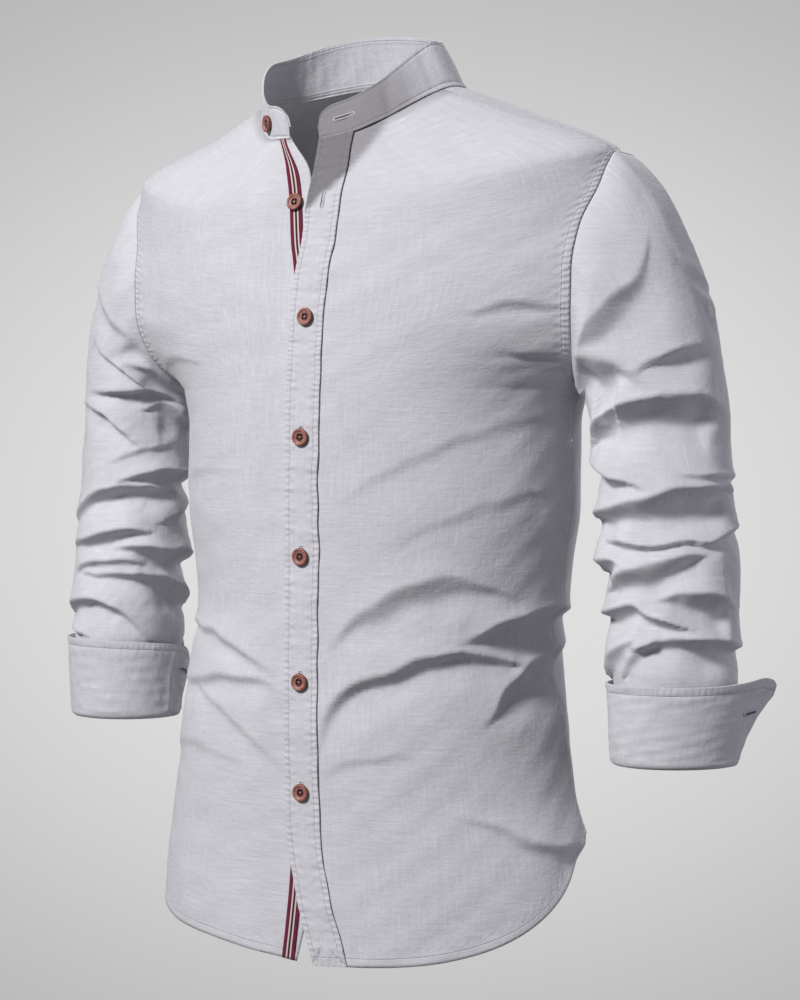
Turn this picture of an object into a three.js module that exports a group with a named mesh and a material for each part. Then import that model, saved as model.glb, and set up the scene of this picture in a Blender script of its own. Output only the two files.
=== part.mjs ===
import * as THREE from 'three';

// Mandarin collar shirt in its worn shape, with no wearer. Millimetres, +Z up, front facing -Y,
// so the wearer's left is +X. The origin lies midway between the two side neck points, where
// the shoulders carry the shirt.
// An angle around the body is 0 at centre front, 90 at the wearer's left side, -90 at the right
// side and 180 at centre back. A drop is measured down from the side neck point along the side.

// Cloth walls and the gaps between pieces
const clothWall = 1.6;
const collarWall = 2.4;
const cuffWall = 2.2;
const bandWall = 1.6;
const tapeWall = 0.8;
const seamGap = 0.3;
const seamHalfAngle = 0.1;
const armholeGap = 0.8;

// Driving sizes of the body
const shoulderDrop = 58;
const underarmDrop = 248;
const frontLength = 718;
const hem = { rise: 104, power: 2.9, rightPower: 5, rightArch: 14, backFrom: 0.2, backTo: 0.8 };
const shoulderSeam = { neckAngle: 74, tipAngle: 90 };
const underlap = 3.9;
const bandWidth = 31;
const tapeWidth = 12;
const rightNeckDip = { depth: 14, angle: -45, spread: 20, fade: 25 };
const underarmFlare = { size: 5, angle: 14, fade: 8 };

const rightShoulder = { lower: 11, fromX: 30, toX: 150, fromDrop: 60, toDrop: 270 };

// Grid counts
const armholeSteps = 10;
const shoulderSteps = 4;
const lowerSteps = 16;
const frontSteps = 8;
const backSteps = 16;

const radians = THREE.MathUtils.degToRad;
const clamp = THREE.MathUtils.clamp;
const sinOf = (angle) => Math.sin(radians(angle));
const cosOf = (angle) => Math.cos(radians(angle));
const gauss = (distance, spread) => Math.exp(-((distance / spread) ** 2));
const ease = (value, from, to) => THREE.MathUtils.smoothstep(value, from, to);
const span = (count) => Array.from({ length: count + 1 }, (_, index) => index / count);

// A smooth curve through a table's rows, with no overshoot. The first column is the key.
function tableCurve(columns, rows) {
  const keys = rows.map((row) => row[0]);
  const slope = (row, column) =>
    (rows[row + 1][column] - rows[row][column]) / (keys[row + 1] - keys[row]);
  const tangent = (row, column) => {
    if (row === 0) return slope(0, column);
    if (row === rows.length - 1) return slope(row - 1, column);
    const before = slope(row - 1, column);
    const after = slope(row, column);
    return before * after <= 0 ? 0 : (2 * before * after) / (before + after);
  };
  return (key) => {
    let row = 0;
    while (row < keys.length - 2 && key > keys[row + 1]) row += 1;
    const step = keys[row + 1] - keys[row];
    const t = clamp((key - keys[row]) / step, 0, 1);
    const result = {};
    columns.slice(1).forEach((name, index) => {
      const column = index + 1;
      const start = rows[row][column];
      const end = rows[row + 1][column];
      const out = tangent(row, column) * step;
      const into = tangent(row + 1, column) * step;
      result[name] = start * (2 * t ** 3 - 3 * t ** 2 + 1) + out * (t ** 3 - 2 * t ** 2 + t)
        + end * (3 * t ** 2 - 2 * t ** 3) + into * (t ** 3 - t ** 2);
    });
    return result;
  };
}

// Rings around the body, from the neck seam to below the hem
const bodyRing = tableCurve(
  ['drop', 'halfWidth', 'middleX', 'frontY', 'sideY', 'backY', 'frontZ', 'backZ', 'backPower'],
  [
    [0, 89, 0, -100, -30, 36, -44, 10, 1],
    [20, 138, 0, -104, -24, 58, -64, 4, 1],
    [58, 226, 0, -113, -14, 94, -99, -33, 1],
    [90, 233, 0, -117, 0, 106, -124, -72, 1],
    [130, 230, 0, -122, 4, 116, -157, -118, 1],
    [180, 213, 0, -127, 4, 120, -198, -174, 1],
    [248, 183, 0, -131, 4, 122, -250, -247, 1],
    [280, 177, 0, -132, 4, 122, -280, -280, 1],
    [341, 177, 0, -132, 4, 122, -341, -341, 1],
    [391, 170, 0, -131, 4, 117, -391, -391, 1],
    [431, 165, 0, -131, 4, 113, -431, -431, 1],
    [463, 168, -4, -131, 4, 112, -463, -463, 1.1],
    [519, 177, -6, -131, 4, 114, -519, -519, 1.3],
    [577, 186, -6, -129, 4, 117, -577, -577, 1.5],
    [621, 195, -4, -128, 4, 118, -621, -621, 1.7],
    [670, 202, -3, -128, 4, 119, -670, -670, 1.7],
    [720, 205, -3, -127, 4, 119, -720, -720, 1.7],
  ],
);

// Where the fronts' lines lie across the chest, by height
const frontLine = tableCurve(
  ['height', 'leftEdge', 'tapeCentre', 'rightEdge'],
  [
    [-718, 9, -17, -9],
    [-650, -8, -8.5, 8],
    [-600, -15, -5, 14],
    [-258, -13, -4, 16],
    [-200, -12, -8, 12],
    [-165, -11, -11.5, 8],
    [-130, -6, -13, 4],
    [-96, -4.5, -18, -2],
    [-70, -2, -25, -8],
    [-42, 0, -42, -33],
  ],
);

// The left armhole seam: 0 at the shoulder seam, 90 in front, 180 under the arm, 270 behind
const armholeRows = [
  [0, 226, -14, -58],
  [22, 225.5, -26, -66],
  [44, 223, -39, -86],
  [67, 213, -54, -119],
  [87, 210, -62, -153],
  [101, 209.5, -62, -177],
  [126, 204, -50, -215],
  [150, 194, -26, -239],
  [180, 188, 4, -248],
  [210, 191, 34, -238],
  [240, 201, 55, -205],
  [270, 208, 62, -158],
  [300, 217, 54, -108],
  [325, 224, 38, -77],
  [342, 226, 16, -59],
];
const armholeTurn = (turn) => armholeRows.map(([angle, ...place]) => [angle + turn, ...place]);
const armholeCurve = tableCurve(
  ['angle', 'x', 'y', 'z'],
  [...armholeTurn(-360), ...armholeTurn(0), ...armholeTurn(360)],
);

// Folds that the cloth falls into. A path's points are an angle and a height.
const bodyFolds = [
  { path: [[11, -455], [22, -431], [35, -417], [48, -413], [79, -402]], width: 16, rise: -4 },
  { path: [[6, -527], [11, -506], [20, -490], [33, -476], [46, -469], [64, -473]], width: 13, rise: -7 },
  { path: [[14, -486], [30, -458], [55, -440], [87, -418]], width: 15, rise: 5 },
  { path: [[56, -518], [64, -497], [85, -461]], width: 14, rise: -4 },
  { path: [[-48, -436], [-30, -452], [-20, -465], [-13, -479]], width: 13, rise: -3.5 },
  { path: [[-45, -486], [-28, -486], [-13, -493], [-6, -513]], width: 13, rise: -4.5 },
  { path: [[-45, -500], [-22, -530], [-6, -563]], width: 16, rise: -3.5 },
  { path: [[112, -420], [135, -448], [158, -470]], width: 17, rise: -5 },
  { path: [[-112, -432], [-138, -455], [-160, -486]], width: 17, rise: -5 },
  { path: [[118, -520], [142, -500], [165, -502]], width: 16, rise: -4 },
  { path: [[-118, -510], [-145, -512], [-166, -530]], width: 16, rise: -4 },
];
const leftSleeveFolds = [
  { path: [[38, -132], [80, -160], [120, -195], [150, -217]], width: 11, rise: 5 },
  { path: [[117, -282], [90, -266], [68, -258], [30, -262], [0, -270]], width: 11, rise: -7 },
  { path: [[150, -345], [81, -335], [38, -326], [-30, -332]], width: 8, rise: 5 },
  { path: [[150, -358], [81, -350], [38, -342], [-30, -347]], width: 8, rise: -7 },
  { path: [[150, -370], [99, -378], [45, -370], [-16, -362]], width: 7, rise: 4 },
  { path: [[150, -388], [99, -395], [45, -388], [-16, -380]], width: 9, rise: -5 },
  { path: [[133, -417], [80, -428], [35, -441]], width: 10, rise: -5 },
  { path: [[127, -448], [83, -461], [0, -451]], width: 9, rise: -5 },
  { path: [[200, -330], [250, -345], [300, -338]], width: 10, rise: -6 },
  { path: [[205, -385], [255, -378], [310, -388]], width: 10, rise: -6 },
  { path: [[190, -432], [245, -425], [300, -436]], width: 10, rise: -5 },
];
const rightSleeveFolds = [
  { path: [[30, -140], [80, -172], [128, -209]], width: 11, rise: 5 },
  { path: [[62, -221], [112, -245]], width: 10, rise: -4 },
  { path: [[55, -262], [112, -258], [152, -262]], width: 9, rise: -5 },
  { path: [[62, -270], [115, -293], [156, -299]], width: 9, rise: 4 },
  { path: [[50, -344], [118, -331], [200, -322]], width: 9, rise: -7 },
  { path: [[50, -362], [118, -352], [200, -350]], width: 8, rise: 5 },
  { path: [[53, -392], [118, -374], [205, -386]], width: 9, rise: -6 },
  { path: [[53, -409], [116, -392], [143, -405], [205, -415]], width: 8, rise: 4 },
  { path: [[55, -439], [118, -446], [150, -467]], width: 10, rise: -5 },
  { path: [[240, -335], [285, -348], [330, -340]], width: 10, rise: -6 },
  { path: [[235, -398], [280, -388], [335, -396]], width: 10, rise: -6 },
];

// Height of the folds at one place; millimetresPerDegree lays the angle out flat.
function foldRise(folds, millimetresPerDegree, angle, height) {
  let total = 0;
  for (const { path, width, rise } of folds) {
    let nearest = Infinity;
    for (let index = 0; index < path.length - 1; index += 1) {
      const [startAngle, startHeight] = path[index];
      const [endAngle, endHeight] = path[index + 1];
      const acrossStep = (endAngle - startAngle) * millimetresPerDegree;
      const upStep = endHeight - startHeight;
      const across = (angle - startAngle) * millimetresPerDegree;
      const up = height - startHeight;
      const t = clamp(
        (across * acrossStep + up * upStep) / (acrossStep ** 2 + upStep ** 2), 0, 1);
      nearest = Math.min(nearest, Math.hypot(across - t * acrossStep, up - t * upStep));
    }
    total += rise * gauss(nearest, width);
  }
  return total;
}

const turned = (angle) => THREE.MathUtils.euclideanModulo(angle + 180, 360) - 180;

// A smooth place on the body without its folds
function bodyForm(angle, drop) {
  const around = turned(angle);
  const ring = bodyRing(drop);
  const forward = cosOf(around);
  const reach = forward > 0 ? ring.frontY - ring.sideY : ring.backY - ring.sideY;
  const middleZ = forward > 0 ? ring.frontZ : ring.backZ;
  const power = forward > 0 ? 1 : ring.backPower;
  const flare = underarmFlare.size * gauss(Math.abs(around) - 90, underarmFlare.angle)
    * Math.exp(-Math.abs(drop - underarmDrop) / underarmFlare.fade);
  const dip = rightNeckDip.depth * gauss(around - rightNeckDip.angle, rightNeckDip.spread)
    * Math.exp(-drop / rightNeckDip.fade);
  return new THREE.Vector3(
    ring.middleX + (ring.halfWidth + flare) * sinOf(around),
    ring.sideY + reach * Math.abs(forward) ** power,
    -drop + (middleZ + drop) * forward ** 2 - dip,
  );
}

// The way a surface faces, from two small steps on it
function facing(surface, first, second, firstStep, secondStep) {
  const alongFirst = surface(first + firstStep, second).sub(surface(first - firstStep, second));
  const alongSecond = surface(first, second + secondStep).sub(surface(first, second - secondStep));
  return alongFirst.cross(alongSecond).normalize();
}

const bodyAcross = 2.6;
function bodyPlace(angle, drop) {
  const place = bodyForm(angle, drop);
  const rise = foldRise(bodyFolds, bodyAcross, turned(angle), place.z);
  return place.addScaledVector(facing(bodyForm, angle, drop, 0.2, 0.2).negate(), rise);
}

const armholePlace = (angle, side) => {
  const { x, y, z } = armholeCurve(angle);
  return new THREE.Vector3(x * side, y, z);
};

// The way the cloth faces along the armhole seam
const armholeFacing = (angle, side) => new THREE.Vector3(
  0.45 * side, -1.45 * sinOf(angle), 0.9 * cosOf(angle)).normalize();

// Rows down a panel: 0 to 1 over the shoulder, 1 to 2 beside the armhole, 2 to 3 below it
function hemDrop(angle) {
  const around = turned(angle);
  const fromMiddle = Math.min(Math.abs(around), 180 - Math.abs(around)) / 90;
  if (Math.abs(around) > 90) return frontLength - hem.rise * ease(fromMiddle, hem.backFrom, hem.backTo);
  if (around >= 0) return frontLength - hem.rise * fromMiddle ** hem.power;
  return frontLength - hem.rise * fromMiddle ** hem.rightPower
    - hem.rightArch * Math.sin(Math.PI * fromMiddle);
}
function rowDrop(row, angle) {
  if (row <= 1) return shoulderDrop * row;
  if (row <= 2) {
    return shoulderDrop + (underarmDrop - shoulderDrop) * (1 - cosOf(180 * (row - 1))) / 2;
  }
  return underarmDrop + (hemDrop(angle) - underarmDrop) * (row - 2);
}

// The angle at which a panel ends in a row, at the shoulder seam, armhole or side seam
function panelEnd(row, onFront) {
  if (row <= 1) return THREE.MathUtils.lerp(shoulderSeam.neckAngle, shoulderSeam.tipAngle, row);
  if (row >= 2) return 90;
  const ring = bodyRing(rowDrop(row, 90));
  const seam = armholeCurve(onFront ? 180 * (row - 1) : 360 - 180 * (row - 1));
  const reach = onFront ? ring.sideY - ring.frontY : ring.sideY - ring.backY;
  return THREE.MathUtils.radToDeg(
    Math.atan2(seam.x / ring.halfWidth, (ring.sideY - seam.y) / Math.abs(reach)));
}

// A place on a body panel, drawn out to the armhole seam towards its end
function panelPlace(angle, row, onFront) {
  const drop = rowDrop(row, angle);
  const place = bodyPlace(angle, drop);
  if (row <= 1 || row >= 2) return place;
  const around = turned(angle);
  const side = Math.sign(around) || 1;
  const end = panelEnd(row, onFront);
  const fromMiddle = onFront
    ? Math.abs(around) / end
    : (180 - Math.abs(around)) / (180 - end);
  const seam = armholePlace(onFront ? 180 * (row - 1) : 360 - 180 * (row - 1), side);
  return place.addScaledVector(seam.sub(bodyPlace(side * end, drop)), fromMiddle ** 4);
}
function panelFacing(angle, row, onFront) {
  const surface = (first, second) => panelPlace(first, second, onFront);
  const normal = facing(surface, angle, clamp(row, 0.002, 2.998), 0.1, 0.002).negate();
  if (row <= 1 || row >= 2) return normal;
  const around = turned(angle);
  const side = Math.sign(around) || 1;
  const end = panelEnd(row, onFront);
  const short = Math.abs(end - Math.abs(around));
  const seamAngle = onFront ? 180 * (row - 1) : 360 - 180 * (row - 1);
  const share = 1 - ease(short, 0, 12);
  return normal.lerp(armholeFacing(seamAngle, side), share).normalize();
}

// The right shoulder hangs a little lower than the left.
function settle(point) {
  const share = ease(-point.x, rightShoulder.fromX, rightShoulder.toX)
    * (1 - ease(-point.z, rightShoulder.fromDrop, rightShoulder.toDrop));
  return point.setZ(point.z - rightShoulder.lower * share);
}

// One closed cloth wall from a grid of face points and the same grid on its back
function wallGeometry(face, back, closed = false) {
  const rows = face.length;
  const columns = face[0].length;
  const points = [...face.flat(), ...back.flat()].map((point) => settle(point.clone()));
  const at = (row, column, layer) => layer * rows * columns + row * columns + (column % columns);
  const triangles = [];
  const quad = (a, b, c, d) => triangles.push([a, b, c], [a, c, d]);
  const lastColumn = closed ? columns : columns - 1;
  for (let row = 0; row < rows - 1; row += 1) {
    for (let column = 0; column < lastColumn; column += 1) {
      quad(at(row, column, 0), at(row + 1, column, 0),
        at(row + 1, column + 1, 0), at(row, column + 1, 0));
      quad(at(row, column, 1), at(row, column + 1, 1),
        at(row + 1, column + 1, 1), at(row + 1, column, 1));
    }
  }
  for (let column = 0; column < lastColumn; column += 1) {
    quad(at(0, column, 0), at(0, column + 1, 0), at(0, column + 1, 1), at(0, column, 1));
    quad(at(rows - 1, column + 1, 0), at(rows - 1, column, 0),
      at(rows - 1, column, 1), at(rows - 1, column + 1, 1));
  }
  if (!closed) {
    for (let row = 0; row < rows - 1; row += 1) {
      quad(at(row + 1, 0, 0), at(row, 0, 0), at(row, 0, 1), at(row + 1, 0, 1));
      quad(at(row, columns - 1, 0), at(row + 1, columns - 1, 0),
        at(row + 1, columns - 1, 1), at(row, columns - 1, 1));
    }
  }
  const volume = triangles.reduce((sum, [a, b, c]) =>
    sum + points[a].dot(new THREE.Vector3().crossVectors(points[b], points[c])), 0);
  if (volume < 0) triangles.forEach((triangle) => triangle.reverse());
  const geometry = new THREE.BufferGeometry();
  geometry.setAttribute(
    'position', new THREE.Float32BufferAttribute(points.flatMap((point) => point.toArray()), 3));
  geometry.setIndex(triangles.flat());
  geometry.computeVertexNormals();
  return geometry;
}

// A wall between two distances from a surface, over a grid of rows and columns
function layerGrids(rows, columnCount, placeAt, facingAt, outer, inner) {
  const grid = (distance) => rows.map((row) => Array.from({ length: columnCount }, (_, column) => {
    const move = typeof distance === 'function' ? distance(row, column) : distance;
    return placeAt(row, column).addScaledVector(facingAt(row, column), move);
  }));
  return [grid(outer), grid(inner)];
}

const bodyRows = [
  ...span(shoulderSteps),
  ...span(armholeSteps).slice(1).map((part) => 1 + part),
  ...span(lowerSteps).slice(1).map((part) => 2 + part + 0.07 * Math.sin(2 * Math.PI * part)),
];

// The angle of a line that lies at x across the front, in one row
const angleAcross = (x, row) => {
  const ring = bodyRing(rowDrop(row, 0));
  return THREE.MathUtils.radToDeg(Math.asin((x - ring.middleX) / ring.halfWidth));
};
const lineAt = (row) => frontLine(bodyRing(rowDrop(row, 0)).frontZ);

// Columns of a front: a few lines near its edge, then even steps to its end
function frontAngle(row, column, lines, side) {
  const last = lines.length - 1;
  if (column <= last) return angleAcross(lines[column](row), row);
  const start = angleAcross(lines[last](row), row);
  const margin = row <= 1 || row >= 2 ? seamHalfAngle : 0;
  const end = side * (panelEnd(row, true) - margin);
  return THREE.MathUtils.lerp(start, end, (column - last) / frontSteps);
}
const leftLines = [0, 1, 2, 3].map((line) => (row) => lineAt(row).leftEdge + (bandWidth * line) / 3);
const rightLines = [
  (row) => lineAt(row).rightEdge,
  (row) => lineAt(row).tapeCentre + tapeWidth / 2,
  (row) => lineAt(row).tapeCentre - tapeWidth / 2,
];
const sunken = (angle, row) => {
  const ring = bodyRing(rowDrop(row, 0));
  const x = ring.middleX + ring.halfWidth * sinOf(angle);
  return -underlap * ease(rowDrop(row, 0), 0, 55) * (1 - ease(-x, 20, 60));
};

const leftFrontAngle = (row, column) => frontAngle(row, column, leftLines, 1);
const rightFrontAngle = (row, column) => frontAngle(row, column, rightLines, -1);
const frontPlace = (angleAt) => (row, column) => panelPlace(angleAt(row, column), row, true);
const frontFacing = (angleAt) => (row, column) => panelFacing(angleAt(row, column), row, true);

function leftFront() {
  return wallGeometry(...layerGrids(bodyRows, leftLines.length + frontSteps,
    frontPlace(leftFrontAngle), frontFacing(leftFrontAngle), 0, -clothWall));
}
function rightFront() {
  const outer = (row, column) => sunken(rightFrontAngle(row, column), row);
  return wallGeometry(...layerGrids(bodyRows, rightLines.length + frontSteps,
    frontPlace(rightFrontAngle), frontFacing(rightFrontAngle),
    outer, (row, column) => outer(row, column) - clothWall));
}
function placketBand() {
  return wallGeometry(...layerGrids(bodyRows, leftLines.length,
    frontPlace(leftFrontAngle), frontFacing(leftFrontAngle), seamGap + bandWall, seamGap));
}
function stripedTape() {
  const angleAt = (row, column) => rightFrontAngle(row, column + 1);
  const base = (row, column) => sunken(angleAt(row, column), row) + seamGap;
  return wallGeometry(...layerGrids(bodyRows, 2, frontPlace(angleAt), frontFacing(angleAt),
    (row, column) => base(row, column) + tapeWall, base));
}
function backPanel() {
  const angleAt = (row, column) => {
    const margin = row <= 1 || row >= 2 ? seamHalfAngle : 0;
    const end = panelEnd(row, false) + margin;
    return THREE.MathUtils.lerp(end, 360 - end, column / backSteps);
  };
  return wallGeometry(...layerGrids(bodyRows, backSteps + 1,
    (row, column) => panelPlace(angleAt(row, column), row, false),
    (row, column) => panelFacing(angleAt(row, column), row, false), 0, -clothWall));
}

// Sleeves. An angle around a sleeve is 0 outside, 90 in front, 180 inside and 270 behind.
const sleeveTop = -290;
const sleeveRing = tableCurve(
  ['share', 'centreX', 'centreY', 'longRadius', 'shortRadius'],
  [
    [0, 257, 9, 56.1, 47.6],
    [0.2, 261, 9, 55.6, 47.6],
    [0.4, 265, 9, 56.6, 49.1],
    [0.6, 267, 9, 53.6, 49.1],
    [0.74, 268, 9, 53.1, 49.1],
    [0.8, 269.5, 9, 51, 47.4],
    [1, 270, 9, 46.8, 42.8],
  ],
);
const sleeveCap = { startPull: 0.62, endPull: 1.1 };
const arms = {
  left: { side: 1, end: -539, cuffHeight: 64, folds: leftSleeveFolds },
  right: { side: -1, end: -526, cuffHeight: 69, folds: rightSleeveFolds },
};
const sleeveAcross = 0.92;
const capSteps = 10;
const tubeSteps = 22;

// A ring leans so that its long axis runs from inside front to outside back.
function ovalPlace(ring, angle, height) {
  const half = Math.SQRT1_2;
  const long = ring.longRadius * half * (cosOf(angle) - sinOf(angle));
  const short = ring.shortRadius * half * (cosOf(angle) + sinOf(angle));
  return new THREE.Vector3(
    ring.centreX + half * (long + short), ring.centreY + half * (long - short), height);
}
function capStart(angle) {
  const under = (1 - cosOf(angle)) / 2;
  const fall = 0.65 - 0.4 * sinOf(angle) ** 2 + 1.2 * under ** 4;
  return new THREE.Vector3(1, -0.12 * sinOf(angle), -fall).normalize();
}

// Along a sleeve, 0 to 1 goes over its head and 1 to 2 down to the cuff.
function sleeveForm(angle, along, end) {
  if (along >= 1) {
    return ovalPlace(
      sleeveRing(along - 1), angle, THREE.MathUtils.lerp(sleeveTop, end, along - 1));
  }
  const away = capStart(angle);
  const start = armholePlace(angle, 1).addScaledVector(away, armholeGap);
  const top = ovalPlace(sleeveRing(0), angle, sleeveTop);
  const length = start.distanceTo(top);
  const down = new THREE.Vector3(0, 0, -1);
  const t = along;
  return new THREE.Vector3()
    .addScaledVector(start, 2 * t ** 3 - 3 * t ** 2 + 1)
    .addScaledVector(away, (t ** 3 - 2 * t ** 2 + t) * length * sleeveCap.startPull)
    .addScaledVector(top, 3 * t ** 2 - 2 * t ** 3)
    .addScaledVector(down, (t ** 3 - t ** 2) * length * sleeveCap.endPull);
}
function sleevePlace(angle, along, arm) {
  const place = sleeveForm(angle, along, arm.end);
  const around = THREE.MathUtils.euclideanModulo(angle + 40, 360) - 40;
  const keep = ease(along, 0.05, 0.3) * (1 - ease(along, 1.74, 1.82));
  const rise = keep * foldRise(arm.folds, sleeveAcross, around, place.z);
  return place.add(new THREE.Vector3(cosOf(angle) * rise, -sinOf(angle) * rise, 0));
}
function sleeve(arm) {
  const surface = (angle, along) => sleevePlace(angle, along, arm);
  const alongs = [...span(capSteps), ...span(tubeSteps).slice(1).map((part) => 1 + part)];
  const count = 2 * armholeSteps;
  const angleAt = (column) => (360 * column) / count;
  const normalAt = (along, column) => {
    const angle = angleAt(column);
    const normal = facing(surface, angle, clamp(along, 0.004, 1.996), 0.5, 0.004);
    return normal.lerp(armholeFacing(angle, 1), 1 - ease(along, 0, 0.3)).normalize();
  };
  const [face, back] = layerGrids(alongs, count,
    (along, column) => surface(angleAt(column), along), normalAt, 0, -clothWall);
  [...face.flat(), ...back.flat()].forEach((point) => point.setX(point.x * arm.side));
  return wallGeometry(face, back, true);
}

// Turned-back cuffs: up inside the sleeve's end, round the fold, and up outside to the edge
const cuff = {
  foldBelowSleeve: 11, sweep: 345, corner: 20, steps: 30,
  topLong: 55.5, topShort: 51, foldLong: 51.5, foldShort: 47.5, legGap: 1.4,
};
const leftCuffEnd = { visibleAngle: -38, turn: 1, flare: 30, lift: 9, reach: 25, slant: 30 };
const rightCuffEnd = { visibleAngle: 210, turn: -1, flare: 7, lift: -12, reach: 45, slant: 14 };

// Down the outer leg from 0 to 1, round the fold to 2 and up the inner leg to 3
function cuffPlace(angle, down, end, arm) {
  const fold = arm.end - cuff.foldBelowSleeve;
  const topHeight = fold + arm.cuffHeight;
  const fromEnd = (end.turn * (angle - end.visibleAngle)) * sleeveAcross;
  const toOtherEnd = cuff.sweep * sleeveAcross - fromEnd;
  const nearCorner = Math.min(fromEnd, toOtherEnd);
  const cut = nearCorner >= cuff.corner ? 0
    : cuff.corner - Math.sqrt(cuff.corner ** 2 - (cuff.corner - Math.max(nearCorner, 0)) ** 2);
  const foldRadius = cuff.legGap / 2 + cuffWall;
  const foldCentre = fold + foldRadius;
  const top = topHeight - cut + end.lift * Math.exp(-fromEnd / end.reach);
  let height = THREE.MathUtils.lerp(top, foldCentre, down);
  let inwards = 0;
  if (down > 1 && down <= 2) {
    height = foldCentre - foldRadius * sinOf(180 * (down - 1));
    inwards = foldRadius * (1 - cosOf(180 * (down - 1)));
  } else if (down > 2) {
    height = THREE.MathUtils.lerp(foldCentre, arm.end - seamGap, down - 2);
    inwards = 2 * foldRadius;
  }
  const raised = clamp((height - foldCentre) / (topHeight - foldCentre), 0, 1);
  const leg = down <= 1 ? raised : 0;
  const flare = end.flare * leg * Math.exp(-fromEnd / 22);
  const ring = {
    ...sleeveRing(1),
    longRadius: THREE.MathUtils.lerp(cuff.foldLong, cuff.topLong, leg) - inwards,
    shortRadius: THREE.MathUtils.lerp(cuff.foldShort, cuff.topShort, leg) - inwards,
  };
  return ovalPlace(ring, angle, height)
    .add(new THREE.Vector3(cosOf(angle) * flare, -sinOf(angle) * flare, 0));
}
function turnedCuff(arm, end) {
  const surface = (angle, down) => cuffPlace(angle, down, end, arm);
  const downs = [0, 0.34, 0.68, 1, 1.25, 1.5, 1.75, 2, 3];
  const angleAt = (down, column) => {
    const share = column / cuff.steps;
    const slant = end.slant * clamp(down, 0, 1) * (1 - share) ** 8;
    return end.visibleAngle + end.turn * (cuff.sweep * share + slant);
  };
  const normalAt = (down, column) => {
    const angle = angleAt(down, column);
    return facing(surface, angle, clamp(down, 0.01, 2.99), 0.4, 0.01).negate();
  };
  const [face, back] = layerGrids(downs, cuff.steps + 1,
    (down, column) => surface(angleAt(down, column), down), normalAt, 0, -cuffWall);
  [...face.flat(), ...back.flat()].forEach((point) => point.setX(point.x * arm.side));
  return wallGeometry(face, back);
}

// Collar band, standing on the neck seam from the right front's edge round to the left's.
// Its columns stand on those of the panels, so that both follow one line.
const collar = {
  height: 43, frontHeight: 29, rightHeight: 27, corner: 18, rises: 3, endSplits: 2, splitSpan: 30,
  topHalfWidth: 72, topCentreX: -8, topFrontY: -92, topBackY: 27, millimetresPerDegree: 1.26,
};
const neckAngles = [
  ...rightLines.slice(0, -1).map((_, column) => rightFrontAngle(0, column)),
  ...span(frontSteps).map((_, column) => rightFrontAngle(0, rightLines.length - 1 + column)),
  ...span(backSteps).map((part) =>
    -THREE.MathUtils.lerp(panelEnd(0, false), 360 - panelEnd(0, false), part)).slice(1, -1),
  ...span(frontSteps).map((_, column) =>
    leftFrontAngle(0, leftLines.length - 1 + frontSteps - column) - 360),
  ...leftLines.slice(0, -1).map((_, column) =>
    leftFrontAngle(0, leftLines.length - 2 - column) - 360),
];
const neckPoints = neckAngles.map((angle) => bodyPlace(angle, 0));
const collarAngles = neckAngles.flatMap((angle, index) => {
  if (index === neckAngles.length - 1) return [angle];
  const next = neckAngles[index + 1];
  const fromEnds = Math.min(neckAngles[0] - angle, next - neckAngles.at(-1));
  const count = fromEnds < collar.splitSpan && angle - next > 4 ? collar.endSplits : 1;
  return span(count).slice(0, -1).map((part) => THREE.MathUtils.lerp(angle, next, part));
});
function neckPlace(angle) {
  let index = 0;
  while (index < neckAngles.length - 2 && angle < neckAngles[index + 1]) index += 1;
  const part = (angle - neckAngles[index]) / (neckAngles[index + 1] - neckAngles[index]);
  return neckPoints[index].clone().lerp(neckPoints[index + 1], part);
}
function collarPlace(angle, rise) {
  const around = turned(angle);
  const base = neckPlace(angle);
  const backwards = (1 - cosOf(around)) / 2;
  const full = around < 0
    ? THREE.MathUtils.lerp(collar.rightHeight, collar.height, ease(backwards, 0.1, 1))
    : THREE.MathUtils.lerp(collar.frontHeight, collar.height, ease(backwards, 0, 0.5));
  const upright = 1 - ease(neckAngles[0] - angle, 17, 101);
  const middleY = cosOf(around) > 0 ? collar.topFrontY : collar.topBackY;
  const ring = bodyRing(0);
  const lean = new THREE.Vector3(
    collar.topCentreX + collar.topHalfWidth * sinOf(around) - base.x,
    ring.sideY + (middleY - ring.sideY) * Math.abs(cosOf(around)) - base.y,
    full,
  ).lerp(new THREE.Vector3(-1, -2, full), upright).setLength(full);
  const nearEnd = Math.min(neckAngles[0] - angle, angle - neckAngles.at(-1))
    * collar.millimetresPerDegree;
  const cut = nearEnd >= collar.corner ? 0
    : collar.corner - Math.sqrt(collar.corner ** 2 - (collar.corner - Math.max(nearEnd, 0)) ** 2);
  return base.addScaledVector(lean, ((full - cut - seamGap) * rise + seamGap) / full);
}
const collarFacing = (rise, angle) => facing((first, second) => collarPlace(second, first),
  clamp(rise, 0.05, 0.95), clamp(angle, neckAngles.at(-1) + 1, neckAngles[0] - 1), 0.04, 1).negate();
function collarBand() {
  return wallGeometry(...layerGrids(span(collar.rises), collarAngles.length,
    (rise, column) => collarPlace(collarAngles[column], rise),
    (rise, column) => collarFacing(rise, collarAngles[column]), 0, -collarWall));
}

// Buttons: a turned disc with a raised rim round a hollow
const button = { radius: 7.25, thickness: 3.2, hollow: 2.2, segments: 14 };
function buttonGeometry() {
  const profile = [
    [0, 0], [button.radius - 0.7, 0], [button.radius, 0.9], [button.radius, button.thickness - 0.8],
    [button.radius - 0.8, button.thickness], [button.radius - 2, button.thickness - 0.3],
    [button.radius - 2.6, button.hollow], [0, button.hollow],
  ].map(([radius, height]) => new THREE.Vector2(radius, height));
  return new THREE.LatheGeometry(profile, button.segments);
}
const placketButtonHeights = [-191, -288, -385, -487, -577];
const tapeButtonHeight = -96;
const collarButtonPlace = { angle: -40.7, rise: 0.46 };

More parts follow.
